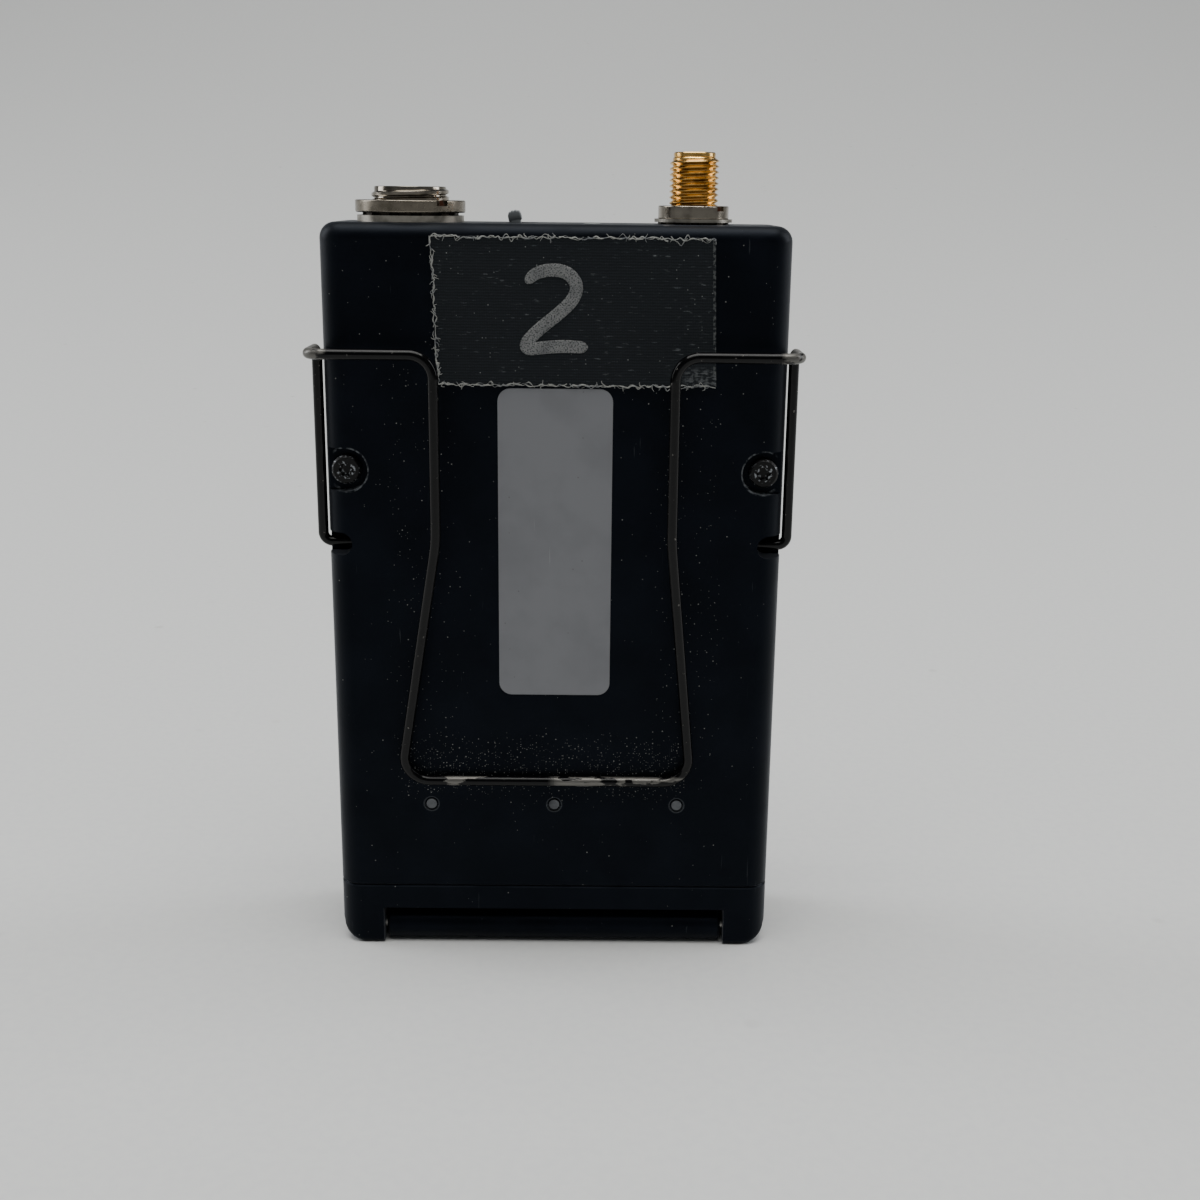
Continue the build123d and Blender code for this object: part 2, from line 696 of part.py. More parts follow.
# ---- boards, display and keys --------------------------------------------------------------------
def main_board():
    """Circuit board behind the display."""
    board = block(-board_half, board_half, board_back_y, board_front_y, board_low_z, board_high_z)
    for side in (-1, 1):
        for z in post_z:
            board -= rod_y(side * post_x, z, board_back_y - 1, board_front_y + 1,
                           board_screw_radius + 0.1)
    return board


def shield(x0, x1, z0, z1):
    """Folded shield can soldered to the back of the board."""
    low_y = board_back_y - shield_height
    can = block(x0, x1, low_y, board_back_y, z0, z1)
    can = fillet(can.edges().filter_by(Axis.Y), 0.8)
    return can - block(x0 + shield_wall, x1 - shield_wall, low_y + shield_wall, board_back_y + 1,
                       z0 + shield_wall, z1 - shield_wall)


def display_module():
    """Liquid crystal display with its backlight."""
    width, height = display_size
    return block(-width / 2, width / 2, board_front_y, inner_front_y - 0.3,
                 display_z - height / 2, display_z + height / 2)


def display_window():
    """Clear window set flush in the front cover."""
    width, height = window_size
    return slab_y(width, height, window_corner, 0, display_z, front_y - window_thickness, front_y)


def key(side):
    """One oval menu key with its retaining flange."""
    x = side * key_spacing / 2
    width, height = key_size
    cap = slab_y(width, height, height / 2 - 0.05, x, key_z, inner_front_y - 0.5,
                 front_y + key_rise)
    cap = fillet(cap.edges().group_by(Axis.Y)[-1], 0.3)
    flange_y = inner_front_y - 0.15
    return cap + slab_y(width + 2 * key_flange, height + 2 * key_flange, height / 2 + key_flange - 0.1,
                        x, key_z, flange_y - key_flange_height, flange_y)


def key_switches():
    """Tact switches on the board under the keys."""
    made = []
    for side in (-1, 1):
        x = side * key_spacing / 2
        body = block(x - tact_size / 2, x + tact_size / 2, board_front_y, board_front_y + tact_height,
                     key_z - tact_size / 2, key_z + tact_size / 2)
        plunger_y = inner_front_y - 0.15 - key_flange_height - key_travel - 0.05
        made.append(body + rod_y(x, key_z, board_front_y + tact_height, plunger_y,
                                 tact_plunger_radius))
    return solids_of(*made)


def beam_lens():
    """Dark lens over the infrared link."""
    lens = rod_y(beam_x, beam_z, inner_front_y - 0.8, front_y, beam_radius)
    return lens + rod_y(beam_x, beam_z, inner_front_y - 0.8, inner_front_y, beam_flange_radius)


def beam_emitter():
    """Infrared emitter on the board behind its lens."""
    return block(beam_x - 1.5, beam_x + 1.5, board_front_y, inner_front_y - 1.1, beam_z - 1.0, beam_z + 1.0)


# ---- power switch and lamp ---------------------------------------------------------------------
def lever_frame(angle):
    """Where the lever's own upright frame lies at a lean in degrees."""
    return Pos(switch_x, 0, top_z - switch_pivot_drop) * Rot(0, angle, 0)


def power_lever():
    """Lever at its off end, leaning towards the microphone jack."""
    length = switch_pivot_drop + lever_rise
    stem = Pos(0, 0, length / 2) * Box(lever_width, lever_depth, length)
    stem = fillet(stem.edges().group_by(Axis.Z)[-1], 0.5)
    hub = Rot(90, 0, 0) * Cylinder(lever_hub_radius, lever_depth)
    bore = Rot(90, 0, 0) * Cylinder(lever_pin_radius + running_clearance, big)
    return lever_frame(-switch_lean) * (stem + hub - bore)


def power_pivot():
    """Pin that carries the lever."""
    half = switch_body_size[1] / 2 - 0.4
    return rod_y(switch_x, top_z - switch_pivot_drop, -half, half, lever_pin_radius)


def power_switch_body():
    """Switch housing under the top wall."""
    width, depth, height = switch_body_size
    pivot_z = top_z - switch_pivot_drop
    body = block(switch_x - width / 2, switch_x + width / 2, -depth / 2, depth / 2,
                 under_top_z - height, under_top_z)
    body -= block(switch_x - width / 2 + 1.0, switch_x + width / 2 - 1.0, -lever_depth / 2 - slip,
                  lever_depth / 2 + slip, pivot_z - lever_hub_radius - 0.2, under_top_z + 1)
    return body - rod_y(switch_x, pivot_z, -depth, depth, lever_pin_radius + 0.02)


def power_lamp():
    """Light guide of the power lamp, with its flange under the top wall."""
    flange = post(lamp_x, 0, under_top_z - 0.8, under_top_z, lamp_flange_radius)
    return flange + post(lamp_x, 0, top_z - lamp_length, top_z, lamp_radius)


# ---- microphone jack ------------------------------------------------------------------------------
def mic_jack_shell():
    """Nickel shell: round flange inside, exposed thread on top."""
    stack = top_z + mic_washer_height + mic_lock_height + mic_nut_height
    low_z = under_top_z - mic_body_length
    shell = post(mic_x, 0, low_z, stack, mic_core_radius)
    shell += post(mic_x, 0, under_top_z - mic_flange_height, under_top_z, mic_flange_radius)
    thread = post(mic_x, 0, stack, mic_top_z, mic_thread_radius)
    shell += chamfer(thread.edges().group_by(Axis.Z)[-1], 0.25)
    shell -= post(mic_x, 0, low_z - 1, mic_top_z + 1, mic_bore_radius)
    key_rib = block(mic_x - 0.6, mic_x + 0.6, mic_bore_radius - 0.6, mic_bore_radius + 0.1,
                    low_z + mic_insulator_height + 0.1, mic_top_z - 1.0)
    return shell + key_rib


def mic_pin_places():
    """Centres of the contact pins."""
    for number in range(mic_pin_count):
        angle = math.radians(45 + 360 / mic_pin_count * number)
        yield mic_x + mic_pin_circle * math.cos(angle), mic_pin_circle * math.sin(angle)


def mic_jack_insulator():
    """Moulded insert that holds the contact pins."""
    low_z = under_top_z - mic_body_length
    insert = post(mic_x, 0, low_z, low_z + mic_insulator_height, mic_bore_radius)
    for x, y in mic_pin_places():
        insert -= post(x, y, low_z - 1, mic_top_z, mic_pin_radius)
    return insert


def mic_jack_pins():
    """Four contact pins with solder tails."""
    low_z = under_top_z - mic_body_length - mic_pin_tail
    pins = []
    for x, y in mic_pin_places():
        pin = post(x, y, low_z, mic_top_z - mic_pin_recess, mic_pin_radius)
        pins.append(fillet(pin.edges().group_by(Axis.Z)[-1], 0.3))
    return solids_of(*pins)


def ring(x, z0, z1, outer, inner):
    """Plain ring round a jack."""
    return post(x, 0, z0, z1, outer) - post(x, 0, z0 - 1, z1 + 1, inner)


def mic_washer():
    """Thick flat washer on the top face."""
    return ring(mic_x, top_z, top_z + mic_washer_height, mic_washer_radius,
                mic_core_radius + washer_play)


def toothed_ring(x, z0, z1, outer, inner, teeth):
    """Lock washer with a toothed rim."""
    washer = ring(x, z0, z1, outer, inner)
    for tooth in range(teeth):
        angle = math.radians(360 / teeth * tooth)
        washer -= post(x + outer * math.cos(angle), outer * math.sin(angle), z0 - 1, z1 + 1,
                       math.pi * outer / teeth * 0.5)
    return washer


def mic_lock_washer():
    """Toothed washer between the flat washer and the ring nut."""
    low_z = top_z + mic_washer_height
    return toothed_ring(mic_x, low_z, low_z + mic_lock_height, mic_lock_radius,
                        mic_core_radius + washer_play, 14)


def mic_ring_nut():
    """Round nut with two opposite spanner notches."""
    low_z = top_z + mic_washer_height + mic_lock_height
    high_z = low_z + mic_nut_height
    nut = post(mic_x, 0, low_z, high_z, mic_nut_radius)
    nut = fillet(nut.edges().filter_by(GeomType.CIRCLE), 0.2)
    nut -= post(mic_x, 0, low_z - 1, high_z + 1, mic_core_radius + 0.02)
    notch = block(mic_thread_radius + 0.7, mic_nut_radius + 1, -mic_notch_width / 2,
                  mic_notch_width / 2, high_z - mic_notch_depth, high_z + 1)
    for side in range(2):
        nut -= Pos(mic_x, 0, 0) * Rot(0, 0, mic_notch_turn - 90 + 180 * side) * notch
    return nut


def mic_leads():
    """Four short wires from the jack's tails to the back of the board."""
    start_z = under_top_z - mic_body_length - mic_pin_tail
    leads = []
    for x, y in mic_pin_places():
        outer = 1.5 if x > mic_x else -1.5
        rear = y < 0
        drop = start_z - (1.5 if rear else 1.0)
        end_x = x + (outer if rear else 0)
        end_z = start_z - (7.5 if rear else 3.2)
        path = FilletPolyline((x, y, start_z), (x, y, drop), (end_x, board_back_y - 1.2, end_z),
                              (end_x, board_back_y, end_z), radius=[0.45, 0.45])
        profile = Plane(origin=(x, y, start_z), z_dir=(0, 0, -1)) * Circle(lead_radius)
        leads.append(sweep(profile, path=path))
    return solids_of(*leads)


# ---- antenna jack ------------------------------------------------------------------------------
def ant_nut_top():
    """Height of the antenna nut's upper face."""
    return top_z + ant_lock_height + ant_washer_height + ant_nut_height


def antenna_jack_shell():
    """Gilt threaded shell with a flange under the top wall."""
    low_z = under_top_z - ant_body_length
    shell = post(ant_x, 0, low_z, ant_nut_top(), ant_core_radius)
    shell += post(ant_x, 0, under_top_z - ant_flange_height, under_top_z, ant_flange_radius)
    shell += post(ant_x, 0, ant_nut_top(), ant_top_z - ant_lead_length, ant_thread_radius)
    lead = post(ant_x, 0, ant_top_z - ant_lead_length - 0.1, ant_top_z, ant_lead_radius)
    shell += lead
    shell -= post(ant_x, 0, low_z - 1, ant_top_z + 1, ant_insulator_radius)
    return shell - post(ant_x, 0, ant_top_z - ant_mouth_depth, ant_top_z + 1, ant_mouth_radius)


def antenna_jack_insulator():
    """White dielectric round the centre contact."""
    return ring(ant_x, under_top_z - ant_body_length, ant_top_z - ant_mouth_depth,
                ant_insulator_radius, ant_contact_radius)


def antenna_jack_contact():
    """Gilt centre socket with a solder tail."""
    contact = post(ant_x, 0, under_top_z - ant_body_length - ant_tail, ant_top_z - ant_mouth_depth,
                   ant_contact_radius)
    return contact - post(ant_x, 0, ant_top_z - ant_mouth_depth - ant_contact_bore_depth, ant_top_z,
                          ant_contact_bore)


def antenna_lock_washer():
    """Toothed washer on the top face."""
    return toothed_ring(ant_x, top_z, top_z + ant_lock_height, ant_lock_radius,
                        ant_core_radius + washer_play, 12)


def antenna_washer():
    """Flat washer under the antenna nut."""
    low_z = top_z + ant_lock_height
    return ring(ant_x, low_z, low_z + ant_washer_height, ant_washer_radius,
                ant_core_radius + washer_play)


def antenna_nut():
    """Round nut with two opposite spanner notches."""
    low_z = top_z + ant_lock_height + ant_washer_height
    high_z = low_z + ant_nut_height
    nut = post(ant_x, 0, low_z, high_z, ant_nut_radius)
    nut = fillet(nut.edges().filter_by(GeomType.CIRCLE), 0.15)
    nut -= post(ant_x, 0, low_z - 1, high_z + 1, ant_core_radius + 0.02)
    notch = block(ant_thread_radius + 0.45, ant_nut_radius + 1, -ant_notch_width / 2,
                  ant_notch_width / 2, high_z - ant_notch_depth, high_z + 1)
    for side in range(2):
        nut -= Pos(ant_x, 0, 0) * Rot(0, 0, ant_notch_turn - 90 + 180 * side) * notch
    return nut


def antenna_lead():
    """Coaxial lead from the antenna jack to the board."""
    start_z = under_top_z - ant_body_length - ant_tail
    end_z = start_z - 8.0
    path = FilletPolyline((ant_x, 0, start_z), (ant_x, 0, start_z - 3.5),
                          (ant_x, board_back_y - 1.6, end_z), (ant_x, board_back_y, end_z),
                          radius=[1.2, 0.9])
    profile = Plane(origin=(ant_x, 0, start_z), z_dir=(0, 0, -1)) * Circle(coax_radius)
    return sweep(profile, path=path)


# ---- stickers --------------------------------------------------------------------------------------
def rating_label():
    """Bare metallic label on the back."""
    width, height = label_size
    return slab_y(width, height, label_corner, 0, label_top_z - height / 2,
                  back_y - label_thickness, back_y)


def channel_tape():
    """Strip of cloth tape across the back, above the label."""
    return block(tape_left, tape_right, back_y - tape_thickness, back_y, tape_low_z, tape_high_z)


nodes = {
    "rear_case": rear_case(),
    "front_cover": front_cover(),
    "end_cap": end_cap(),
    "battery_door": battery_door(),
    "door_latch": door_latch(),
    "hinge_pin": hinge_pin(),
    "belt_clip": belt_clip(),
    "case_screws": case_screws(),
    "tray_rivets": tray_rivets(),
    "board_screws": board_screws(),
    "aa_cell_lower": aa_cell(cell_z[0], 1),
    "aa_cell_upper": aa_cell(cell_z[1], -1),
    "cell_tray": cell_tray(),
    "contact_bridge": contact_bridge(),
    "contact_positive": contact_positive(),
    "contact_negative": contact_negative(),
    "battery_leads": battery_leads(),
    "contact_spring_lower": contact_spring(-1, cell_z[0]),
    "contact_spring_upper": contact_spring(1, cell_z[1]),
    "main_board": main_board(),
    "radio_shield": shield(-8.0, 19.0, 57.0, 82.0),
    "audio_shield": shield(-19.0, -9.5, 57.0, 76.0),
    "display_module": display_module(),
    "display_window": display_window(),
    "menu_key": key(-1),
    "enter_key": key(1),
    "key_switches": key_switches(),
    "beam_lens": beam_lens(),
    "beam_emitter": beam_emitter(),
    "power_lever": power_lever(),
    "power_pivot": power_pivot(),
    "power_switch_body": power_switch_body(),
    "power_lamp": power_lamp(),
    "mic_jack_shell": mic_jack_shell(),
    "mic_jack_insulator": mic_jack_insulator(),
    "mic_jack_pins": mic_jack_pins(),
    "mic_leads": mic_leads(),
    "mic_washer": mic_washer(),
    "mic_lock_washer": mic_lock_washer(),
    "mic_ring_nut": mic_ring_nut(),
    "antenna_jack_shell": antenna_jack_shell(),
    "antenna_jack_insulator": antenna_jack_insulator(),
    "antenna_jack_contact": antenna_jack_contact(),
    "antenna_lead": antenna_lead(),
    "antenna_lock_washer": antenna_lock_washer(),
    "antenna_washer": antenna_washer(),
    "antenna_nut": antenna_nut(),
    "rating_label": rating_label(),
    "channel_tape": channel_tape(),
}

os.makedirs("parts", exist_ok=True)
for name, shape in nodes.items():
    export_step(shape, f"parts/{name}.step")
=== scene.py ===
import json
import math
import random

import bmesh
import bpy
from mathutils import Matrix, Vector, noise


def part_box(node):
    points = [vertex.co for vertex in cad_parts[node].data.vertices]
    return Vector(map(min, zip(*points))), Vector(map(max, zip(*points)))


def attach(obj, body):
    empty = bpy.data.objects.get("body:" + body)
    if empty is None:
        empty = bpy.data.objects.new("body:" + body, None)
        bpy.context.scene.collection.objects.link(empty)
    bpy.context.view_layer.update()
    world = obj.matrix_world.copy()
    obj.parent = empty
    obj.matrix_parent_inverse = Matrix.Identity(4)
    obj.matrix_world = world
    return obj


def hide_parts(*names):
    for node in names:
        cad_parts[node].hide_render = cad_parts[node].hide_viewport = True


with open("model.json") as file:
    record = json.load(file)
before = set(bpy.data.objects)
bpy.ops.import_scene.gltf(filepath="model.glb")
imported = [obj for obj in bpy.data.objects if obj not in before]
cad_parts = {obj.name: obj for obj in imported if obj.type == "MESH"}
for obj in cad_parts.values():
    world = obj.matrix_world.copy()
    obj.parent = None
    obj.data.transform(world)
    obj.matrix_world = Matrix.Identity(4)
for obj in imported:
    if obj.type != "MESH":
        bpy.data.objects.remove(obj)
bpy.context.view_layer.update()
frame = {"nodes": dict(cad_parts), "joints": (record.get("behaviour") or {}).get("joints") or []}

nodes = frame["nodes"]
mm = 0.001
random.seed(31)
print("frame loaded:", len(nodes), "CAD nodes")


# helpers

def linear(hexColour):
    # sRGB hex to the linear colour that the sockets take
    parts = [int(hexColour[i:i + 2], 16) / 255 for i in (1, 3, 5)]
    return tuple(p / 12.92 if p <= 0.04045 else ((p + 0.055) / 1.055) ** 2.4 for p in parts) + (1,)


def add(tree, kind, inputs=None, stops=None, **settings):
    # one node with its settings, colour stops, and links or values
    node = tree.nodes.new("ShaderNode" + kind)
    for name, value in settings.items():
        setattr(node, name, value)
    if stops:
        elements = node.color_ramp.elements
        while len(elements) < len(stops):
            elements.new(1.0)
        for element, (position, colour) in zip(elements, stops):
            element.position = position
            element.color = linear(colour) if isinstance(colour, str) else (colour, colour, colour, 1)
    for socket, value in (inputs or {}).items():
        if isinstance(value, bpy.types.NodeSocket):
            tree.links.new(value, node.inputs[socket])
        else:
            node.inputs[socket].default_value = value
    return node


def newSurface(name, colour, roughness, metallic=0.0, coordinate="Object", **sockets):
    # a material with its shader; sockets names the shader's own fixed values
    material = bpy.data.materials.new(name)
    material.use_nodes = True
    tree = material.node_tree
    tree.nodes.clear()
    values = {"Base Color": linear(colour), "Roughness": roughness, "Metallic": metallic}
    values.update({socket.replace("_", " "): value for socket, value in sockets.items()})
    shader = add(tree, "BsdfPrincipled", inputs=values)
    add(tree, "OutputMaterial", inputs={"Surface": shader.outputs[0]})
    place = add(tree, "TexCoord").outputs[coordinate]
    return material, tree, shader, place


def speckle(tree, place, size, share, seed, upright=False):
    # scattered grains: 1 inside a grain; share is a number or a socket, the part of the cells that hold one;
    # upright lays the cells out flat on a face that looks along Y, so that each of them shows
    turn = (-math.pi / 2, 0, 0) if upright else (0, 0, 0)
    shift = add(tree, "Mapping", inputs={"Vector": place, "Location": (seed * 0.37, seed * 0.11, seed),
                                         "Rotation": turn})
    cells = add(tree, "TexVoronoi", voronoi_dimensions="2D" if upright else "3D",
                inputs={"Vector": shift.outputs[0], "Scale": 1 / size})
    grain = add(tree, "MapRange", inputs={0: cells.outputs["Distance"], 1: 0.10, 2: 0.20, 3: 1.0, 4: 0.0})
    draw = add(tree, "SeparateColor", inputs={0: cells.outputs["Color"]})
    held = add(tree, "Math", operation="LESS_THAN", inputs={0: draw.outputs[0], 1: share})
    uneven = add(tree, "Math", operation="MULTIPLY", inputs={0: held.outputs[0], 1: draw.outputs[1]})
    return add(tree, "Math", operation="MULTIPLY",
               inputs={0: grain.outputs[0], 1: uneven.outputs[0]}).outputs[0]


def blendInto(tree, shader, socket, mask, value):
    # lays value over whatever feeds a shader socket, where mask is 1
    target = shader.inputs[socket]
    below = target.links[0].from_socket if target.links else target.default_value
    if target.type == "RGBA":
        mix = add(tree, "Mix", data_type="RGBA", inputs={0: mask, 7: value})
        under, result = mix.inputs[6], mix.outputs[2]
    else:
        mix = add(tree, "Mix", inputs={0: mask, 3: value})
        under, result = mix.inputs[2], mix.outputs[0]
    if isinstance(below, bpy.types.NodeSocket):
        tree.links.new(below, under)
    else:
        under.default_value = below if isinstance(below, float) else tuple(below)
    tree.links.new(result, target)


def roughen(tree, shader, height, depth, strength=1.0):
    # bump of a real depth in metres, on top of any bump already there
    bump = add(tree, "Bump", inputs={"Height": height, "Distance": depth, "Strength": strength})
    target = shader.inputs["Normal"]
    if target.links:
        tree.links.new(target.links[0].from_socket, bump.inputs["Normal"])
    tree.links.new(bump.outputs[0], target)


def band(tree, value, low, high, soft):
    # 1 while value is between low and high, falling off over soft
    rise = add(tree, "MapRange", interpolation_type="SMOOTHSTEP",
               inputs={0: value, 1: low - soft, 2: low, 3: 0.0, 4: 1.0})
    fall = add(tree, "MapRange", interpolation_type="SMOOTHSTEP",
               inputs={0: value, 1: high, 2: high + soft, 3: 1.0, 4: 0.0})
    return add(tree, "Math", operation="MULTIPLY",
               inputs={0: rise.outputs[0], 1: fall.outputs[0]}).outputs[0]


def reachFrom(tree, place, x, z, mirrored=False):
    # how far a place is from an axis along Y at x and z; mirrored counts the axis at -x as well
    parts = add(tree, "SeparateXYZ", inputs={0: place})
    across = add(tree, "Math", operation="ABSOLUTE", inputs={0: parts.outputs[0]}).outputs[0] if mirrored \
        else parts.outputs[0]
    dx = add(tree, "Math", operation="SUBTRACT", inputs={0: across, 1: x}).outputs[0]
    dz = add(tree, "Math", operation="SUBTRACT", inputs={0: parts.outputs[2], 1: z}).outputs[0]
    flat = add(tree, "CombineXYZ", inputs={0: dx, 1: dz}).outputs[0]
    return add(tree, "VectorMath", operation="LENGTH", inputs={0: flat}).outputs["Value"]


def product(tree, *factors):
    result = factors[0]
    for factor in factors[1:]:
        result = add(tree, "Math", operation="MULTIPLY", inputs={0: result, 1: factor}).outputs[0]
    return result


def grainNoise(tree, place, size, detail=3.0, low=0.0, high=1.0, outLow=0.0, outHigh=1.0, stretch=(1, 1, 1)):
    # noise with grains of a real size in metres, stretched along the axes and mapped between two levels
    spread = add(tree, "Mapping", inputs={"Vector": place, "Scale": stretch})
    source = add(tree, "TexNoise", inputs={"Vector": spread.outputs[0], "Scale": 1 / size, "Detail": detail})
    return add(tree, "MapRange", interpolation_type="SMOOTHSTEP",
               inputs={0: source.outputs[0], 1: low, 2: high, 3: outLow, 4: outHigh}).outputs[0]


def finishMesh(name, bm, materials, sharpAngle=35):
    # merged, facing outwards, smooth apart from its sharp edges, with its place in its mesh
    bmesh.ops.remove_doubles(bm, verts=bm.verts, dist=0.000002)
    bmesh.ops.recalc_face_normals(bm, faces=bm.faces)
    for face in bm.faces:
        face.smooth = True
    for edge in bm.edges:
        if len(edge.link_faces) == 2 and edge.calc_face_angle(0) > math.radians(sharpAngle):
            edge.smooth = False
    mesh = bpy.data.meshes.new(name)
    bm.to_mesh(mesh)
    bm.free()
    for material in materials:
        mesh.materials.append(material)
    piece = bpy.data.objects.new(name, mesh)
    bpy.context.scene.collection.objects.link(piece)
    return piece


def addTurned(bm, profile, centre, steps=96):
    # spins a closed outline of (radius, height) in millimetres about an upright axis
    verts = [bm.verts.new((centre.x + r * mm, centre.y, h * mm)) for r, h in profile]
    edges = [bm.edges.new((verts[i], verts[i - 1])) for i in range(len(verts))]
    bmesh.ops.spin(bm, geom=verts + edges, cent=centre, axis=(0, 0, 1), angle=math.tau, steps=steps,
                   use_merge=True)


def addThread(bm, centre, root, crest, pitch, low, high, flat=0.1, steps=64):
    # a screw ridge: one section of it, spun upwards in whole turns from the back, with both ends closed
    foot = root - 0.04
    half = pitch / 2 - 0.02
    soft = (0.5 - flat) * 0.16 * pitch
    section = [(foot, -half), (crest - 0.06, -flat * pitch - soft), (crest, -flat * pitch), (crest, flat * pitch),
               (crest - 0.06, flat * pitch + soft), (foot, half)]
    turns = int((high - low - 2 * half) / pitch)
    start = high - half - turns * pitch
    verts = [bm.verts.new((centre.x, centre.y + r * mm, (start + h) * mm)) for r, h in section]
    face = bm.faces.new(verts)
    count = steps * turns
    before = set(bm.faces)
    bmesh.ops.spin(bm, geom=verts + list(face.edges) + [face], cent=centre, axis=(0, 0, 1),
                   dvec=(0, 0, pitch * mm / steps), angle=math.tau * count / steps, steps=count)
    rims = [e for f in set(bm.faces) - before for e in f.edges if len(e.link_faces) == 1]
    bmesh.ops.holes_fill(bm, edges=list(set(rims)))


def givePaint(nodeName, material):
    mesh = nodes[nodeName].data
    mesh.materials.clear()
    mesh.materials.append(material)


def tubePiece(name, routes, radius, material, sides=3):
    # one mesh of round threads along routes of points, each point with its own thickness
    curve = bpy.data.curves.new(name, "CURVE")
    curve.dimensions = "3D"
    curve.bevel_depth = radius
    curve.bevel_resolution = sides
    curve.use_fill_caps = True
    for route in routes:
        spline = curve.splines.new("NURBS")
        spline.points.add(len(route) - 1)
        for point, (x, y, z, thickness) in zip(spline.points, route):
            point.co = (x, y, z, 1)
            point.radius = thickness
        spline.order_u = 3
        spline.use_endpoint_u = True
        spline.resolution_u = 4
    source = bpy.data.objects.new(name + "Path", curve)
    bpy.context.scene.collection.objects.link(source)
    bpy.context.view_layer.update()
    mesh = bpy.data.meshes.new_from_object(source.evaluated_get(bpy.context.evaluated_depsgraph_get()))
    bpy.data.objects.remove(source)
    bm = bmesh.new()
    bm.from_mesh(mesh)
    bpy.data.meshes.remove(mesh)
    return finishMesh(name, bm, [material], sharpAngle=60)


# materials

casePaint = {
    "pale": "#080b11", "dark": "#04060a", "rubbed": "#4a4d50", "dust": "#8f908d",
    "gloss": "#b7c6df", "bloom": "#cdd3de", "roughness": 0.40,
    "grain": 0.35 * mm,        # orange peel of a sprayed powder, as coarse as it shows
    "speck": 0.44 * mm, "speckShare": 0.003, "dustyShare": 0.20,
    "dustyLow": 25.6 * mm, "dustyHigh": 27.5 * mm,      # dust gathers above the clip's tip
}


def powderPaint(name, beltSide):
    # satin black powder paint on a light alloy casting: deep black, soft broad highlights, faint peel
    p = casePaint
    material, tree, shader, place = newSurface(name, p["dark"], p["roughness"],
                                               Specular_IOR_Level=0.11, Specular_Tint=linear(p["gloss"]),
                                               Sheen_Weight=0.16, Sheen_Roughness=0.35, Sheen_Tint=linear(p["bloom"]))
    cloud = grainNoise(tree, place, 9 * mm, 4, 0.35, 0.7)
    blendInto(tree, shader, "Base Color", cloud, linear(p["pale"]))
    handled = grainNoise(tree, place, 5 * mm, 6, 0.45, 0.75)
    blendInto(tree, shader, "Roughness", handled, p["roughness"] + 0.14)
    # hairline scuffs, mostly up and down
    scuff = grainNoise(tree, place, 0.4 * mm, 2, 0.70, 0.76, stretch=(1, 1, 0.06))
    where = grainNoise(tree, place, 7 * mm, 2, 0.52, 0.62)
    blendInto(tree, shader, "Base Color", product(tree, scuff, where, 0.3), linear(p["rubbed"]))
    scattered = speckle(tree, place, p["speck"] * 1.2, 0.013, 1.7)
    masks = [scattered]
    if beltSide:
        parts = add(tree, "SeparateXYZ", inputs={0: place})
        x, y, z = parts.outputs
        low = band(tree, z, p["dustyLow"], p["dustyHigh"], 5.5 * mm)
        wide = band(tree, x, -19 * mm, 16 * mm, 3 * mm)
        legs = add(tree, "Math", operation="ABSOLUTE", inputs={0: x}).outputs[0]
        alongLegs = product(tree, band(tree, legs, 14 * mm, 21 * mm, 1.5 * mm),
                            band(tree, z, 24 * mm, 84 * mm, 3 * mm), 0.022)
        share = add(tree, "Math", operation="MULTIPLY_ADD",
                    inputs={0: product(tree, low, wide), 1: p["dustyShare"], 2: alongLegs}).outputs[0]
        share = add(tree, "Math", operation="ADD", inputs={0: share, 1: p["speckShare"]}).outputs[0]
        onFace = band(tree, y, -9.5 * mm, -8.38 * mm, 0.05 * mm)
        for size, seed in ((p["speck"], 1.7), (p["speck"] * 0.6, 6.2)):
            masks.append(product(tree, speckle(tree, place, size, share, seed, upright=True), onFace))
        # a painted highlight as a paler line along the rims of the screw recesses, and a paler ring round the rivet
        # dimples
        screwLow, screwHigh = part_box("case_screws")
        rivetLow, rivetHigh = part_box("tray_rivets")
        screwX, screwZ = screwHigh.x - (screwHigh.z - screwLow.z) / 2, (screwLow.z + screwHigh.z) / 2
        rivetX, rivetZ = rivetHigh.x - (rivetHigh.z - rivetLow.z) / 2, (rivetLow.z + rivetHigh.z) / 2
        recessRimHighlight = band(tree, reachFrom(tree, place, screwX, screwZ, True), 2.72 * mm, 2.92 * mm, 0.12 * mm)
        inward = band(tree, legs, 10 * mm, screwX + 1.2 * mm, 0.8 * mm)
        dimple = add(tree, "Math", operation="MAXIMUM", inputs={
            0: band(tree, reachFrom(tree, place, rivetX, rivetZ, True), 0.92 * mm, 1.06 * mm, 0.1 * mm),
            1: band(tree, reachFrom(tree, place, 0, rivetZ), 0.92 * mm, 1.06 * mm, 0.1 * mm)}).outputs[0]
        patchy = grainNoise(tree, place, 0.8 * mm, 4, 0.38, 0.62)
        # painted highlight: paler paint along the rims of the screw recesses
        blendInto(tree, shader, "Base Color", product(tree, recessRimHighlight, inward, patchy), linear("#585b5e"))
        blendInto(tree, shader, "Base Color", product(tree, dimple, 0.6), linear(p["rubbed"]))
    for mask in masks:
        blendInto(tree, shader, "Base Color", mask, linear(p["dust"]))
        blendInto(tree, shader, "Roughness", mask, 0.9)
    peel = grainNoise(tree, place, p["grain"], 2)
    roughen(tree, shader, peel, 0.012 * mm, 0.6)
    roughen(tree, shader, masks[-1], 0.03 * mm)
    return material


